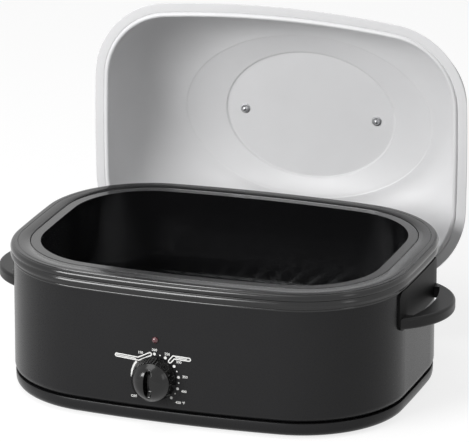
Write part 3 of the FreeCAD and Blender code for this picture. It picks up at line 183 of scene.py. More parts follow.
BAKED_COAT = moulded("baked_black_coat", "#1B1B1C", "#1F1F20", 0.27, 1.2, 0.12, specular=0.2)
RIM_PLASTIC = moulded("moulded_rim_plastic", "#0D0D0E", "#111112", 0.15, 0.8, 0.06, specular=0.5)
HANDLE_PLASTIC = moulded(
    "moulded_handle_plastic", "#0B0B0B", "#0F0F10", 0.36, 0.8, 0.3, specular=0.26
)
# The handles' back plates are duller than the handles and drawn darker: the darker colour is painted
# shade, for the shade behind the grips.
SHADED_PLATE_PLASTIC = moulded("dull_plate_plastic_painted_shade", "#050505", "#080808", 0.5, 0.8, 0.3, specular=0.12)
KNOB_PLASTIC = moulded("glossy_knob_plastic", "#060606", "#090909", 0.16, 0.6, 0.08, specular=0.45)
PAN_ENAMEL = moulded(
    "fired_black_enamel", "#0A0A0B", "#0E0E0F", 0.18, 1.5, 0.1, coat=0.2, specular=0.4
)
CONTROL_PLASTIC = moulded("dull_control_plastic", "#232323", "#2B2B2B", 0.55, 0.8, 0.3)
FOOT_RUBBER = moulded("black_foot_rubber", "#161616", "#1C1C1C", 0.75, 0.7, 0.5)
FIBRE_BLANKET = moulded("pale_fibre_blanket", "#C8C0A8", "#DAD2BC", 0.9, 2.0, 0.8)
print("moulded and coated finishes ready")

# %% [markdown]
# ## Bare metals
#
# The screws and pins are zinc-plated steel, the rack is chromed wire, the well inside is aluminised
# sheet, and the heater's band and the sensing bulb are oxidised steel and copper.  A metal has no
# base colour under a clear layer: what it shows is tinted reflection, so these differ in tint, in
# roughness and in how far the roughness wanders.

# %% Metal finishes
STREAKS_PER_METRE, STREAK_DETAIL = 300.0, 3.0


def metal(name, tint, roughness, brushed=(1.0, 1.0, 1.0), spread=0.06):
    """A metal whose roughness wanders over a stretched noise, as drawing or rolling leaves it."""
    material, tree, output = new_material(name)
    place = add(tree, "ShaderNodeTexCoord").outputs["Object"]
    turned = add(tree, "ShaderNodeMapping", {"Vector": place, "Scale": brushed})
    streak = add(
        tree,
        "ShaderNodeTexNoise",
        {"Vector": turned.outputs[0], "Scale": STREAKS_PER_METRE, "Detail": STREAK_DETAIL},
    )
    gloss = value_between(tree, streak.outputs["Fac"], roughness - spread, roughness + spread)
    principled(tree, output, Base_Color=linear(tint), Metallic=1.0, Roughness=gloss)
    return material


ZINC_PLATE = metal("zinc_plated_steel", "#B9BABC", 0.30)
CHROME_WIRE = metal("chromed_wire", "#D5D6D8", 0.12, spread=0.03)
ALUMINISED = metal("aluminised_sheet", "#A7A8A9", 0.42, brushed=(0.1, 0.1, 1.0))
HEATER_SKIN = metal("oxidised_heater_band", "#7C7670", 0.5)
COPPER_BULB = metal("drawn_copper", "#C58B68", 0.32)
print("metal finishes ready")

# %% [markdown]
# ## The lid's two coats
#
# The lid is one sheet of steel with two coats: black outside, a shade deeper than the oven's, and
# a pale satin grey inside that runs out over the flange to its edge.  The pale coat is a little
# rough, so it shades softly and mirrors nothing clearly.

# %% Lid coats
PALE_COAT = moulded("pale_satin_lid_coat", "#D8D8D9", "#DEDEDF", 0.36, 1.5, 0.06, specular=0.4)
LID_OUTSIDE = moulded("black_lid_coat", "#0B0B0C", "#101011", 0.26, 1.2, 0.12)
print("lid coats ready")

# %% [markdown]
# ## The pilot lamp
#
# The lamp's lens is dark red polycarbonate, unlit: a deep colour under a hard clear surface.  Its red
# is painted darker towards the dome's edge, where the dome turns from the view: painted shade.


# %% Lamp finish
LENS, lens_tree, lens_output = new_material("red_polycarbonate")
# Painted shade: the red runs darker towards the lens's edge as the dome turns from the view.
lens_edge_shade = add(lens_tree, "ShaderNodeLayerWeight", {"Blend": 0.4})
principled(
    lens_tree,
    lens_output,
    Base_Color=colour_between(lens_tree, lens_edge_shade.outputs["Facing"], "#5A1A24", "#1E080C"),
    Roughness=0.12,
    Coat_Weight=0.6,
    IOR=1.58,
)
print("lamp finish ready")

# %% [markdown]
# ## Dressing the solids
#
# Each piece keeps its own mesh and gets one finish.  Whatever isn't named below is a screw, a
# pin, a rivet or a bracket, and all of those are plated steel.  Further down, five of the pieces
# give way to a surface that is drawn in this file.

# %% Finishes by piece
FINISHES = {
    BAKED_COAT: ["outer_shell", "base_pan"],
    RIM_PLASTIC: ["rim_ring"],
    HANDLE_PLASTIC: ["left_handle", "right_handle", "lid_handle", "lid_handle_posts"],
    SHADED_PLATE_PLASTIC: ["left_handle_plate", "right_handle_plate"],
    KNOB_PLASTIC: ["knob"],
    PAN_ENAMEL: ["roasting_pan"],
    CONTROL_PLASTIC: ["thermostat", "terminal_block", "cord_gland", "pilot_lamp_body"],
    FOOT_RUBBER: ["foot_1", "foot_2", "foot_3", "foot_4"],
    FIBRE_BLANKET: ["insulation"],
    CHROME_WIRE: ["rack_frame", "rack_lugs", "rack_handle_left", "rack_handle_right"],
    ALUMINISED: ["liner"],
    HEATER_SKIN: ["heater_band"],
    COPPER_BULB: ["thermostat_bulb"],
    PALE_COAT: ["lid_shell"],
    LENS: ["pilot_lamp_lens"],
}
finish_of = {name: finish for finish, names in FINISHES.items() for name in names}
for name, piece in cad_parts.items():
    piece.data.materials.clear()
    piece.data.materials.append(finish_of.get(name, ZINC_PLATE))
print("dressed", len(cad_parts), "pieces")

# %% [markdown]
# ## Outlines that keep their facing
#
# The rim, the base and the lid all follow one family of outlines: a rectangle with bowed sides and
# large round corners, drawn with eight arcs.  Each point of an outline is found by the direction
# that it faces.  That makes an inset easy, because a point moves straight back along its facing,
# and lets one outline turn into an oval without a twist.


# %% Outlines
RIM_SHAPE = (280 * MM, 212 * MM, 150 * MM, 1475 * MM, 3000 * MM)
LID_SHAPE = (273 * MM, 196 * MM, 116 * MM, 1475 * MM, 3000 * MM)


def corner_centre(length, width, corner, side, end):
    """Centre of the corner arc: it lies side - corner from the side's centre and end - corner from
    the end's centre, found as the crossing of those two circles."""
    first, last = np.array([0.0, width - side]), np.array([length - end, 0.0])
    reach, span = side - corner, np.linalg.norm(last - first)
    along = (reach**2 - (end - corner) ** 2 + span**2) / (2 * span)
    unit = (last - first) / span
    off = math.sqrt(reach**2 - along**2) * np.array([-unit[1], unit[0]])
    return max(first + unit * along + off, first + unit * along - off, key=min)


def outline_turns(length, width, corner, side, end):
    """The two facing angles at which the end arc meets the corner arc and that meets the side."""
    x, y = corner_centre(length, width, corner, side, end)
    return math.atan2(y, x - (length - end)), math.atan2(y - (width - side), x)


def facings(shape, on_end=8, on_corner=30, on_side=12):
    """Facing angles once round an outline, close together where it bends: a quarter, then its
    mirror image, then both again half a turn on."""
    low, high = outline_turns(*shape)
    quarter = np.concatenate(
        [
            np.linspace(0, low, on_end, endpoint=False),
            np.linspace(low, high, on_corner, endpoint=False),
            np.linspace(high, np.pi / 2, on_side, endpoint=False),
        ]
    )
    half = np.concatenate([quarter, np.pi - np.append(quarter[1:], np.pi / 2)[::-1]])
    return np.concatenate([half, half + np.pi])


def eight_arcs(shape, facing):
    """Points of an outline by facing: the centre of the arc that the angle falls in, plus its
    radius times the direction, worked out in one quarter and mirrored."""
    length, width, corner, side, end = shape
    x, y = corner_centre(*shape)
    low, high = outline_turns(*shape)
    c, s = np.cos(facing), np.sin(facing)
    folded = np.arctan2(np.abs(s), np.abs(c))
    ends, sides = folded <= low, folded >= high
    radius = np.where(ends, end, np.where(sides, side, corner))
    middle_x = np.where(ends, length - end, np.where(sides, 0.0, x))
    middle_y = np.where(ends, 0.0, np.where(sides, width - side, y))
    return np.column_stack(
        [
            np.copysign(middle_x + radius * np.abs(c), c),
            np.copysign(middle_y + radius * np.abs(s), s),
        ]
    )


def oval(half_length, half_width, facing):
    """Points of an ellipse by facing: (a^2 cos t, b^2 sin t) / sqrt(a^2 cos^2 t + b^2 sin^2 t)."""
    flat = np.column_stack([half_length**2 * np.cos(facing), half_width**2 * np.sin(facing)])
    return flat / np.hypot(half_length * np.cos(facing), half_width * np.sin(facing))[:, None]


def ring_mesh(name, rows, closed_end=False, wrap=False):
    """A mesh from closed rows of points, one row inside the next: quads between neighbouring rows,
    and at the end either a fan to the last row's middle or quads back to the first row."""
    rows = np.asarray(rows)
    count, around = rows.shape[:2]
    points = rows.reshape(-1, 3)
    this = np.arange(around)
    after = (this + 1) % around
    starts = np.arange(count if wrap else count - 1)[:, None] * around
    nexts = (starts + around) % (count * around)
    quads = np.stack([starts + this, nexts + this, nexts + after, starts + after], -1)
    faces = quads.reshape(-1, 4).tolist()
    if closed_end:
        points = np.vstack([points, rows[-1].mean(0)])
        last = (count - 1) * around
        middle = np.full(around, len(points) - 1)
        faces += np.stack([last + this, middle, last + after], -1).tolist()
    mesh = bpy.data.meshes.new(name)
    mesh.from_pydata(points.tolist(), [], faces)
    mesh.validate()
    mesh.shade_smooth()
    piece = bpy.data.objects.new(name, mesh)
    bpy.context.scene.collection.objects.link(piece)
    return piece


print("corner centre of the rim", corner_centre(*RIM_SHAPE).round(4))

# %% [markdown]
# ## The lid's sheet
#
# The lid is one pressing: a flat flange, a narrow groove, a rounded ridge that drops inside the
# rim, steep walls that turn over a round shoulder, a faint oval step, and a flat oval crown.  It
# is drawn as rows from the flange's edge in to the crown's middle.  The walls follow a
# superellipse, squarer at the ends than at the sides, and the outline turns from eight arcs into
# an oval on the way in.  Solidify then gives the sheet its 1.2 mm, with the black coat behind.

# %% Lid measures
LID_SHEET = 1.2 * MM
LID_MIDDLE_Z = (LID_LOW[2] + LID_HIGH[2]) / 2
# The flange, the groove and the ridge are in mm, as (inset, depth) or as a middle and a radius.
FLANGE = [(0.0, 2.7), (0.15, 2.25), (0.6, 2.0), (1.2, 2.0), (6.5, 2.0), (12.0, 2.0)]
GROOVE = [(12.3, 2.05), (12.7, 2.5), (13.3, 2.9), (13.9, 2.9)]
RIDGE_MIDDLE, RIDGE_RADIUS = 17, 3
DOME_IN, RIDGE_DEPTH, WALL_DEPTH = 20 * MM, 3 * MM, 134 * MM
# A shoulder is its superellipse's power, its half width and the inset at which it is cut.
SHOULDER = {"end": (3.3, 84 * MM, 69 * MM), "side": (2.5, 68 * MM, 56 * MM)}
STEP_WIDE, STEP_RISE = 2.4 * MM, 0.9 * MM
CROWN = np.array([127 * MM, 94 * MM])
CROWN_DEPTH, CROWN_RISE, CROWN_EDGE = 143 * MM, 2 * MM, 3.5 * MM
ROW_PACKING = 0.9
lid_facing = facings(LID_SHAPE)
lid_edge = eight_arcs(LID_SHAPE, lid_facing)
lid_out = np.column_stack([np.cos(lid_facing), np.sin(lid_facing)])
end_share = (np.cos(lid_facing) ** 2)[:, None]
print("a lid row has", len(lid_facing), "points")


# %% Lid rows
def steps(count):
    """Count even steps from just above 0 to 1."""
    return np.linspace(0, 1, count + 1)[1:]


def half_wave(share):
    """0 to 1 along half a cosine wave: (1 - cos(pi t)) / 2."""
    return (1 - math.cos(math.pi * share)) / 2


def lid_row(flat, depth):
    """Put a row on the open lid: x stays, the outline's y hangs down from the lid's middle, and
    depth goes back from its face."""
    depth = np.broadcast_to(np.asarray(depth, float).reshape(-1), len(flat))
    return np.column_stack([flat[:, 0], LID_LOW[1] + depth, LID_MIDDLE_Z - flat[:, 1]])


def shoulder(kind, share):
    """Inset and depth along a superellipse: in = a (1 - cos^(2/n) f), depth = H sin^(2/n) f, where
    f runs from 0 to the angle at which the inset reaches its cut."""
    power, half, cut = SHOULDER[kind]
    turn = share * math.acos((1 - cut / half) ** (power / 2))
    height = WALL_DEPTH - RIDGE_DEPTH
    return (
        half * (1 - math.cos(turn) ** (2 / power)),
        RIDGE_DEPTH + height * math.sin(turn) ** (2 / power),
    )


def flange_rows():
    """The flange, the groove and the half-round ridge: the edge moved straight in."""
    turn = np.linspace(np.radians(12), np.pi, 14)
    ridge = np.column_stack(
        [RIDGE_MIDDLE - RIDGE_RADIUS * np.cos(turn), RIDGE_RADIUS * (1 - np.sin(turn))]
    )
    profile = np.vstack([FLANGE, GROOVE, ridge]) * MM
    return [lid_row(lid_edge - inset * lid_out, depth) for inset, depth in profile]


def wall_rows():
    """The walls and the shoulder: each row blends from eight arcs to an oval as it goes in."""
    rows = []
    for share in steps(29) ** ROW_PACKING:
        end_in, end_depth = shoulder("end", share)
        side_in, side_depth = shoulder("side", share)
        moved = DOME_IN + end_in * end_share + side_in * (1 - end_share)
        egg = oval(LID_SHAPE[0] - DOME_IN - end_in, LID_SHAPE[1] - DOME_IN - side_in, lid_facing)
        blend = share * share * (3 - 2 * share)
        depth = end_depth * end_share + side_depth * (1 - end_share)
        rows.append(lid_row((1 - blend) * (lid_edge - moved * lid_out) + blend * egg, depth))
    return rows


def crown_rows(edge_depth):
    """The faint step, the shallow cone in to the crown, its raised edge and its flat middle."""
    cuts = np.array([SHOULDER["end"][2], SHOULDER["side"][2]])
    edge = np.array(LID_SHAPE[:2]) - DOME_IN - cuts
    sizes = [edge - STEP_WIDE * share for share in steps(4)]
    depths = [edge_depth + STEP_RISE * half_wave(share) for share in steps(4)]
    sizes += [(1 - share) * (edge - STEP_WIDE) + share * CROWN for share in steps(6)]
    depths += [(1 - share) * (edge_depth + STEP_RISE) + share * CROWN_DEPTH for share in steps(6)]
    sizes += [CROWN - CROWN_EDGE * share for share in steps(6)]
    depths += [CROWN_DEPTH + CROWN_RISE * half_wave(share) for share in steps(6)]
    inner = (0.97, 0.9, 0.75, 0.5, 0.25, 0.08)
    sizes += [(CROWN - CROWN_EDGE) * share for share in inner]
    depths += [CROWN_DEPTH + CROWN_RISE] * len(inner)
    return [lid_row(oval(*size, lid_facing), depth) for size, depth in zip(sizes, depths)]


walls = flange_rows() + wall_rows()
lid_sheet = ring_mesh(
    "lid_sheet", walls + crown_rows(walls[-1][:, 1] - LID_LOW[1]), closed_end=True
)
lid_sheet.data.materials.append(PALE_COAT)
lid_sheet.data.materials.append(LID_OUTSIDE)
lid_skin = lid_sheet.modifiers.new("sheet", "SOLIDIFY")
lid_skin.thickness = LID_SHEET
lid_skin.offset = -1.0
lid_skin.use_even_offset = True
lid_skin.material_offset = 1
lid_skin.material_offset_rim = 1
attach(lid_sheet, "lid")
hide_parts("lid_shell")
print("lid sheet", len(lid_sheet.data.polygons), "faces")

# %% [markdown]
# ## Profiles carried round the outline
#
# The rim, the wall's hem and the base tray are each a profile of (inset, height) points, in mm, that
# every facing of the outline repeats: point = outline - inset x facing.  A profile drawn top,
# outside, bottom, inside gives faces that look outwards.

# %% Carried profiles
rim_facing = facings(RIM_SHAPE, on_corner=40, on_side=20)
rim_edge = eight_arcs(RIM_SHAPE, rim_facing)
rim_out = np.column_stack([np.cos(rim_facing), np.sin(rim_facing)])
CREASE = math.radians(50)


def bend(middle_in, middle_z, radius, first, last, count):
    """Profile points on a circle: inset = middle - r cos a, height = middle + r sin a, in mm."""
    turn = np.radians(np.linspace(first, last, count))
    return np.column_stack([middle_in - radius * np.cos(turn), middle_z + radius * np.sin(turn)])


def carried(name, finish, profile, closed=True):
    """Carry a profile of insets and heights in mm round the oven's outline, and ride on the oven.
    A profile that isn't closed ends in a fan to the middle, as a floor does."""
    rows = []
    for inset, height in np.asarray(profile, float) * MM:
        x, y = (rim_edge - inset * rim_out).T
        rows.append(np.column_stack([x, y + OVEN_MIDDLE[1], np.full(len(x), height)]))
    piece = ring_mesh(name, rows, closed_end=not closed, wrap=closed)
    piece.data.set_sharp_from_angle(angle=CREASE)
    piece.data.materials.append(finish)
    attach(piece, "oven")
    return piece


print("a carried row has", len(rim_facing), "points")

# %% [markdown]
# ### The rim
#
# The rim is one black moulding: a flat top with a fine groove, a rounded lip, a narrow hollow and a
# second rounded band under it, with a seat inside for the pan.

# %% Rim
rim_base, rim_top = (corner[2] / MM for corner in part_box("rim_ring"))
SEAT_IN, SEAT_DEEP, LEDGE, PLATE, SKIRT_IN = 27.0, 4.0, 7.0, 2.0, 6.0
seat_top, seat_base = rim_top - SEAT_DEEP, rim_top - SEAT_DEEP - PLATE
top_face = [(SEAT_IN, rim_top - 0.4), (SEAT_IN - 0.4, rim_top)]
fine_groove = [(11.0, rim_top), (10.6, rim_top - 0.5), (10.2, rim_top - 0.5), (9.8, rim_top)]
lip_step = [(5.2, rim_top), (4.9, rim_top - 0.9), (4.3, rim_top - 1.0)]
lip_top = [(3.0, rim_top - 1.15), (2.2, rim_top - 1.5)]
lip = bend(7.6, rim_top - 6.6, 7.5, 40, 4, 10)
hollow = [(0.1, rim_top - 7.4), (0.6, rim_top - 8.5), (1.5, rim_top - 9.3), (2.2, rim_top - 10.2)]
band = bend(9.2, rim_top - 16.2, 9.0, 38, 0, 12)
band_foot = bend(1.8, rim_top - 16.6, 1.5, -10, -70, 5)
skirt = [(3.4, rim_base + 3.2), (3.9, rim_base + 2.6), (3.9, rim_base), (SKIRT_IN, rim_base)]
inside = [(SKIRT_IN, rim_top - PLATE), (SEAT_IN - PLATE, rim_top - PLATE)]
seat = [(SEAT_IN - PLATE, seat_base), (SEAT_IN + LEDGE, seat_base)]
seat += [(SEAT_IN + LEDGE, seat_top), (SEAT_IN, seat_top)]
outside = [top_face, fine_groove, lip_step, lip_top, lip, hollow, band, band_foot, skirt]
rim = carried("rim_moulding", RIM_PLASTIC, np.vstack(outside + [inside, seat]))
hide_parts("rim_ring")
print("rim", len(rim.data.polygons), "faces")

# %% [markdown]
# ### Hem and tray
#
# Under the rim the wall's sheet is folded into a thin hem, and a shallow tray closes the base.  The
# tray's profile stays open and ends in a floor, and Solidify gives it its thickness.

# %% Hem and tray
HEM_DROP = 0.9
HEM = [(5.0, 0.8), (4.3, 0.85), (4.0, 0.6), (3.7, 0.0)]
HEM += [(3.45, -0.7), (3.4, -1.2), (3.8, -1.8), (5.0, -1.9)]
hem = carried("wall_top_hem", RIM_PLASTIC, np.array(HEM) + (0, SHELL_HIGH[2] / MM - HEM_DROP))

tray_base, tray_top = (corner[2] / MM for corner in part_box("base_pan"))
TRAY_CORNER, TRAY_SHEET, FLOOR_IN = 10.2, 1.5 * MM, 60.0
tray_lip = [(24.0, tray_top), (5.9, tray_top), (5.5, tray_top - 0.6), (5.7, tray_top - 7.0)]
tray_turn = bend(16.0, tray_base + TRAY_CORNER, TRAY_CORNER, 0, -90, 12)
tray_profile = np.vstack([tray_lip, tray_turn, [(FLOOR_IN, tray_base)]])
tray = carried("base_tray", BAKED_COAT, tray_profile, closed=False)
tray_skin = tray.modifiers.new("sheet thickness", "SOLIDIFY")
tray_skin.thickness = TRAY_SHEET
tray_skin.offset = -1
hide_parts("base_pan")
print("hem", len(hem.data.polygons), "faces, tray", len(tray.data.polygons), "faces")

# %% [markdown]
# ## The dial knob
#
# The knob is glossy moulded plastic: a fluted skirt, a domed face and a deep slot across it that
# fingers grip by its walls.  It is one surface over circles of shrinking radius: the skirt's rows
# climb from the wall, and the face's height is a dome less a trench with rounded shoulders.

# %% Knob
FACE_RADIUS, FACE_EDGE, DOME_RISE = 25.3 * MM, 19.4 * MM, 11.6 * MM
SLOT_HALF, SLOT_DEEP, SLOT_SIDE = 5.0 * MM, 11.0 * MM, 21.5 * MM
SLOT_SHIFT, SLOT_INSIDE, SLOT_OUTSIDE = 0.6 * MM, 1.6 * MM, 1.2 * MM
FULL_DEPTH = 0.45 * SLOT_SIDE
FACE_ROWS = np.linspace(1, 0.02, 70) ** 0.95
FLUTES, FLUTE_DEPTH = 40, 0.9 * MM
knob_turn = np.linspace(0, 2 * np.pi, 320, endpoint=False)


def ease(value, low, high):
    """0 below low, 1 above high, and 3 t^2 - 2 t^3 between."""
    t = np.clip((value - low) / (high - low), 0, 1)
    return t * t * (3 - 2 * t)


def disc_row(turn, centre, seat, radius, height):
    """A circle of points that faces the front: x and z round a centre, y at a height off a seat."""
    x, z = radius * np.sin(turn), radius * np.cos(turn)
    return np.column_stack([centre[0] + x, seat - height + 0 * x, centre[2] + z])


def face_row(radius):
    """Dome less trench: h = edge + rise (1 - (r/R)^3) - deep x across x along, where the trench's
    half width shrinks towards its ends as sqrt(1 - (z/side)^2)."""
    x, z = radius * np.sin(knob_turn), radius * np.cos(knob_turn)
    half = SLOT_HALF * np.sqrt(np.clip(1 - (z / SLOT_SIDE) ** 2, 0, 1))
    across = 1 - ease(np.abs(x - SLOT_SHIFT), half - SLOT_INSIDE, half + SLOT_OUTSIDE)
    along = 1 - ease(np.abs(z), FULL_DEPTH, SLOT_SIDE)
    dome = FACE_EDGE + DOME_RISE * (1 - (radius / FACE_RADIUS) ** 3)
    return disc_row(knob_turn, DIAL, KNOB_HIGH[1], radius, dome - SLOT_DEEP * across * along)


flute = FLUTE_DEPTH * (1 - np.cos(FLUTES * knob_turn)) / 2
# Each row of the skirt: radius and height in mm, and the share of the flutes' depth that it has.
SKIRT = [(30.4, 0.2, 0.0), (30.5, 0.6, 0.0), (30.3, 1.6, 0.2), (29.9, 3.0, 1.0), (28.6, 9.0, 1.0)]
SKIRT += [(27.6, 15.4, 1.0), (27.2, 16.6, 0.3), (26.9, 17.4, 0.0), (26.3, 18.6, 0.0)]
knob_rows = [
    disc_row(knob_turn, DIAL, KNOB_HIGH[1], radius * MM - share * flute, height * MM)
    for radius, height, share in SKIRT
]
knob_rows += [face_row(share * FACE_RADIUS) for share in FACE_ROWS]
knob_cap = ring_mesh("dial_knob_cap", knob_rows, closed_end=True)
knob_cap.data.materials.append(KNOB_PLASTIC)
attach(knob_cap, "dial_knob")
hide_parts("knob")
print("knob", len(knob_cap.data.polygons), "faces")

# %% [markdown]
# ## The pilot lamp's lens
#
# A small dome of clear red plastic pressed into the wall: radius = R cos a and height = rise sin a,
# for an angle a from 0 to just short of a quarter turn, where a fan closes it.  A short straight
# side sinks into the wall.

# %% Lens
LENS_LOW, LENS_HIGH = low_high(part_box("pilot_lamp_lens"))
LENS_MIDDLE = (LENS_LOW + LENS_HIGH) / 2
LENS_RADIUS, LENS_RISE, LENS_SUNK = 4.6 * MM, 3.6 * MM, 2 * MM
NEAR_POLE = 1.5
lens_turn = np.linspace(0, 2 * np.pi, 48, endpoint=False)
lens_rise = np.linspace(0, NEAR_POLE, 14)
lens_radii = np.append(LENS_RADIUS, LENS_RADIUS * np.cos(lens_rise))
lens_heights = np.append(-LENS_SUNK, LENS_RISE * np.sin(lens_rise))
lens_seat = front_wall(LENS_MIDDLE[0])
lens_rows = [
    disc_row(lens_turn, LENS_MIDDLE, lens_seat, radius, height)
    for radius, height in zip(lens_radii, lens_heights)
]
lamp_lens = ring_mesh("lamp_lens", lens_rows, closed_end=True)
lamp_lens.data.materials.append(LENS)
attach(lamp_lens, "oven")
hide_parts("pilot_lamp_lens")
print("lens", len(lamp_lens.data.polygons), "faces")

# %% [markdown]
# ## Printing on the front wall
#
# The dial's scale is screen-printed in white straight onto the coat.  Print has almost no
# thickness, so each mark is a flat mesh laid 0.3 mm off the wall and bent to its arc.  Marks are
# drawn in the wall's own plane, as x and z, and one function lifts them on.

# %% Print helpers
PRINT_LIFT = 0.3 * MM
INK, ink_tree, ink_output = new_material("white_screen_print")
principled(ink_tree, ink_output, Base_Color=linear("#F2F2F0"), Roughness=0.5)


def printed(name, flat, faces):
    """A mesh on the front wall from points (x, z), every face turned to the front."""
    flat = np.asarray(flat, float)
    points = np.column_stack([flat[:, 0], front_wall(flat[:, 0]) - PRINT_LIFT, flat[:, 1]])
    mesh = bpy.data.meshes.new(name)
    mesh.from_pydata(points.tolist(), [], [list(face) for face in faces])
    mesh.validate()
    piece = bpy.data.objects.new(name, mesh)
    bpy.context.scene.collection.objects.link(piece)
    mesh.materials.append(INK)
    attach(piece, "oven")
    return piece


def strip_faces(count, closed=False):
    """Quads between two rows of count points, the first row's points numbered first."""
    here = np.arange(count if closed else count - 1)
    there = (here + 1) % count
    return np.column_stack([here, there, there + count, here + count])


def on_dial(degrees, radius):
    """Point at a clockwise angle from the top of the dial: (x, z) = centre + r (sin a, cos a)."""
    angle = np.radians(degrees)
    return np.column_stack([DIAL[0] + radius * np.sin(angle), DIAL[2] + radius * np.cos(angle)])


print("print lies", PRINT_LIFT, "m off the wall")

# %% [markdown]
# ### Dots and crescent
#
# A dot is one face with 24 corners.  The crescent is a band between two circles' arcs that close
# up on each other: its width grows with the angle from a hair to a pen's stroke.

# %% Dots and crescent
DOT_RING, BIG_DOT, SMALL_DOT = 34.2 * MM, 2.0 * MM, 1.0 * MM
BIG_ANGLES = [0.0, 26.6, 54.0, 81.0, 108.5, 136.5]
SMALL_ANGLES = [13.3, 67.0, 94.5, 122.0]
middles = on_dial(BIG_ANGLES + SMALL_ANGLES, DOT_RING)
dot_sizes = np.array([BIG_DOT] * len(BIG_ANGLES) + [SMALL_DOT] * len(SMALL_ANGLES))
dot_turn = np.linspace(0, 2 * np.pi, 24, endpoint=False)
dot_edge = np.column_stack([np.cos(dot_turn), np.sin(dot_turn)])
dots = (middles[:, None] + dot_sizes[:, None, None] * dot_edge).reshape(-1, 2)
dot_faces = np.arange(len(dots)).reshape(len(middles), -1)
printed("dial_dots", dots, dot_faces.tolist())

CRESCENT_RING, CRESCENT_ANGLES, CRESCENT_MM = 33.0 * MM, [-111.5, -80, -50.4], [0.3, 2.4, 3.0]
sweep = np.linspace(CRESCENT_ANGLES[0], CRESCENT_ANGLES[-1], 40)
thickness = np.interp(sweep, CRESCENT_ANGLES, CRESCENT_MM) * MM
inner = on_dial(sweep, CRESCENT_RING - thickness / 2)
outer = on_dial(sweep, CRESCENT_RING + thickness / 2)
printed("dial_crescent", np.vstack([inner, outer]), strip_faces(len(sweep))[:, ::-1].tolist())
print("printed", len(middles), "dots and a crescent")

# %% [markdown]
# ### Outlined flags
#
# Two narrow flags lead from the scale, each a line with round ends drawn round a bent path.  The
# outline is the path moved sideways by the flag's half width, out along one side and back along
# the other, with a half circle round each end.


# %% Flags
def round_path(corners, half_width, cap_points=14):
    """Closed outline at a distance from an open path: offset sides joined by half circles."""
    corners = np.asarray(corners, float)
    runs = np.diff(corners, axis=0)
    runs /= np.linalg.norm(runs, axis=1)[:, None]
    normals = np.column_stack([-runs[:, 1], runs[:, 0]])
    joint = np.vstack([normals[:1], normals[:-1] + normals[1:], normals[-1:]])
    joint /= np.linalg.norm(joint, axis=1)[:, None]
    stretch = 1 / np.sum(joint * np.vstack([normals, normals[-1:]]), axis=1)
    side = joint * stretch[:, None] * half_width

    def cap(centre, direction):
        turn = np.arctan2(direction[1], direction[0]) + np.linspace(np.pi / 2, -np.pi / 2, cap_points)
        return centre + half_width * np.column_stack([np.cos(turn), np.sin(turn)])

    far_end, near_end = cap(corners[-1], runs[-1]), cap(corners[0], -runs[0])
    return np.vstack([corners + side, far_end, (corners - side)[::-1], near_end])


def flag(name, corners, half_width, pen):
    """A printed outline: the band between two round paths one pen's width apart."""
    outer_line = round_path(corners, half_width)
    inner_line = round_path(corners, half_width - pen)
    band_faces = strip_faces(len(outer_line), closed=True)
    return printed(name, np.vstack([outer_line, inner_line]), band_faces.tolist())


FLAG_HALF, PEN = 2.9 * MM, 1.6 * MM
RULE_HALF, RULE_PEN = 0.7 * MM, 0.69 * MM
LEFT_FLAG = np.array([(-81.0, 94.7), (-50.0, 93.0), (-33.5, 101.5)]) * MM
RIGHT_FLAG = np.array([(-5.2, 94.6), (0.0, 100.8), (21.5, 100.0)]) * MM
left_rule = LEFT_FLAG[:2] + np.array([(0, 0), (-4, 0)]) * MM
right_rule = RIGHT_FLAG[1:] + np.array([(3, 0), (-3, 0)]) * MM
flag("left_flag", LEFT_FLAG, FLAG_HALF, PEN)
flag("right_flag", RIGHT_FLAG, FLAG_HALF, PEN)
flag("left_flag_rule", left_rule, RULE_HALF, RULE_PEN)
flag("right_flag_rule", right_rule, RULE_HALF, RULE_PEN)
print("printed two flags, each with a rule inside")

# %% [markdown]
# ### Numbers round the dial
#
# The numbers are the built-in font, made a mesh first and then laid on the wall like any mark.

# %% Numbers
NUMBER_HEIGHT, PRINT_BOLD, CURVE_STEPS = 5.0 * MM, 0.09 * MM, 3
LABELS = [
    ("150", -30.0, 39.5),
    ("200", 0.0, 40.0),
    ("250", 26.6, 40.5),
    ("300", 52.0, 43.5),
    ("350", 81.0, 43.5),
    ("400", 108.5, 43.5),
    ("450 °F", 130.0, 47.0),
    ("OFF", -134.0, 41.0),
]


def letter_points(text, height):
    """A flat mesh of a line of text about its own middle: its points and its faces."""
    curve = bpy.data.curves.new("line_of_text", "FONT")
    curve.body = text
    curve.size = height
    curve.resolution_u = CURVE_STEPS
    curve.offset = PRINT_BOLD
    carrier = bpy.data.objects.new("line_of_text", curve)
    mesh = bpy.data.meshes.new_from_object(carrier)
    points = np.empty(len(mesh.vertices) * 3)
    mesh.vertices.foreach_get("co", points)
    points = points.reshape(-1, 3)[:, :2]
    faces = [tuple(face.vertices) for face in mesh.polygons]
    bpy.data.objects.remove(carrier)
    bpy.data.curves.remove(curve)
    bpy.data.meshes.remove(mesh)
    return points - (points.min(0) + points.max(0)) / 2, faces


for text, degrees, radius in LABELS:
    points, faces = letter_points(text, NUMBER_HEIGHT)
    label = "".join(letter for letter in text if letter.isalnum()).lower()
    printed(f"dial_{label}", points + on_dial([degrees], radius * MM), faces)
print("printed", len(LABELS), "labels")

# %% [markdown]
# ## Camera
#
# The oven is seen from the right and a little above, from far off through a long lens, so that
# its edges run nearly parallel.  The camera stands on a ray from the oven's middle and is slid
# sideways and up, without turning, to frame it.

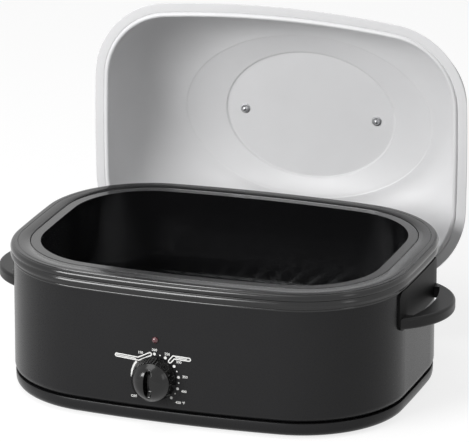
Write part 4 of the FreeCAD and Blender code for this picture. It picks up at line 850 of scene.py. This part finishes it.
# %% Camera
AZIMUTH, ELEVATION = math.radians(19.0), math.radians(18.217)
DISTANCE, SLIDE_RIGHT, SLIDE_UP = 6.8568, 0.0131, 0.2152
FOCAL_PIXELS, FRAME_PIXELS, SENSOR_MM = 5008.8, 469, 36.0
back = np.array(
    [
        math.sin(AZIMUTH) * math.cos(ELEVATION),
        -math.cos(AZIMUTH) * math.cos(ELEVATION),
        math.sin(ELEVATION),
    ]
)
right = np.array([math.cos(AZIMUTH), math.sin(AZIMUTH), 0.0])
up = np.cross(back, right)
footing = np.array([OVEN_MIDDLE[0], OVEN_MIDDLE[1], 0.0])
lens = bpy.data.cameras.new("camera")
lens.sensor_width = SENSOR_MM
lens.lens = FOCAL_PIXELS * SENSOR_MM / FRAME_PIXELS
lens.clip_end = 100.0
camera = bpy.data.objects.new("camera", lens)
matrix = np.eye(4)
matrix[:3, :3] = np.column_stack([right, up, back])
matrix[:3, 3] = footing + back * DISTANCE + right * SLIDE_RIGHT + up * SLIDE_UP
camera.matrix_world = mathutils.Matrix(matrix.tolist())
bpy.context.scene.collection.objects.link(camera)
bpy.context.scene.camera = camera
print("camera at", matrix[:3, 3].round(3))

# %% [markdown]
# ## Floor and world
#
# A pale floor and a white sky surround the oven and give its dark coat something to mirror.  The
# floor is part diffuse, so that it keeps a soft shadow, and part self-lit, but only for rays that
# come from the camera or off a glossy or clear surface, so that it adds no light to the oven.  The
# sky does the same: it is white where it is seen and dimmer as a light.

# %% Floor and world
FLOOR_GLOW, FLOOR_PALE, FLOOR_HALF = 0.78, 0.3, 12.0
SKY_SEEN, SKY_LIGHT = 1.0, 0.35
WHITE = (1, 1, 1, 1)


def calculated(tree, operation, first, second):
    """The output of one sum, product or maximum of two values."""
    return add(tree, "ShaderNodeMath", {0: first, 1: second}, operation=operation).outputs[0]


def seen_directly(tree):
    """1 for a camera, glossy or transmission ray and 0 for a diffuse one, which lights things."""
    path = add(tree, "ShaderNodeLightPath").outputs
    mirrored = calculated(tree, "MAXIMUM", path["Is Glossy Ray"], path["Is Transmission Ray"])
    return calculated(tree, "MAXIMUM", path["Is Camera Ray"], mirrored)


def floor_finish():
    """Diffuse white plus an emission that only camera, glossy and transmission rays meet."""
    material, tree, output = new_material("white_floor")
    strength = calculated(tree, "MULTIPLY", seen_directly(tree), FLOOR_GLOW)
    glow = add(tree, "ShaderNodeEmission", {"Color": WHITE, "Strength": strength})
    matte = add(tree, "ShaderNodeBsdfDiffuse", {"Color": (*[FLOOR_PALE] * 3, 1)})
    both = add(tree, "ShaderNodeAddShader", {0: glow.outputs[0], 1: matte.outputs[0]})
    tree.links.new(both.outputs[0], output.inputs["Surface"])
    return material


floor_mesh = bpy.data.meshes.new("floor")
floor_corners = FLOOR_HALF * np.array([(-1, -1, 0), (1, -1, 0), (1, 1, 0), (-1, 1, 0)])
floor_mesh.from_pydata(floor_corners.tolist(), [], [(0, 1, 2, 3)])
floor_mesh.materials.append(floor_finish())
floor = bpy.data.objects.new("floor", floor_mesh)
bpy.context.scene.collection.objects.link(floor)

world = bpy.data.worlds.new("studio")
bpy.context.scene.world = world
world.use_nodes = True
sky = world.node_tree
sky.nodes.clear()
sky_level = value_between(sky, seen_directly(sky), SKY_LIGHT, SKY_SEEN)
sky_glow = add(sky, "ShaderNodeBackground", {"Color": WHITE, "Strength": sky_level})
add(sky, "ShaderNodeOutputWorld", {"Surface": sky_glow.outputs[0]})
print("floor", 2 * FLOOR_HALF, "m wide under a white sky")

# %% [markdown]
# ## Lamps
#
# Three soft lamps look at the oven: a wide key at the front left, which gives the rim its long
# highlights, a weak one overhead, and a narrow one at the right that lifts the end wall.


# %% Lamps
LOOK_HEIGHT = 0.2


def softbox(name, place, wide, tall, watts):
    """An area lamp, wide and tall, that looks at the oven's middle."""
    data = bpy.data.lights.new(name, "AREA")
    data.shape = "RECTANGLE"
    data.size = wide
    data.size_y = tall
    data.energy = watts
    lamp = bpy.data.objects.new(name, data)
    target = np.array([OVEN_MIDDLE[0], OVEN_MIDDLE[1], LOOK_HEIGHT])
    away = np.asarray(place, float) - target
    away /= np.linalg.norm(away)
    across = np.cross([0, 0, 1.0], away)
    across /= np.linalg.norm(across)
    turn = np.eye(4)
    turn[:3, :3] = np.column_stack([across, np.cross(away, across), away])
    turn[:3, 3] = place
    lamp.matrix_world = mathutils.Matrix(turn.tolist())
    bpy.context.scene.collection.objects.link(lamp)


softbox("key", (-1.7, -3.0, 1.5), 2.4, 1.1, 112.0)
softbox("overhead", (-0.5, -0.8, 2.8), 1.6, 1.6, 22.0)
softbox("right_side", (2.6, -1.2, 1.2), 0.5, 1.2, 3.0)
print("lamps", sorted(light.name for light in bpy.data.lights))

# %% [markdown]
# ## Colour
#
# The plain Standard view shows each colour about as it is written.

# %% Colour management
bpy.context.scene.view_settings.view_transform = "Standard"
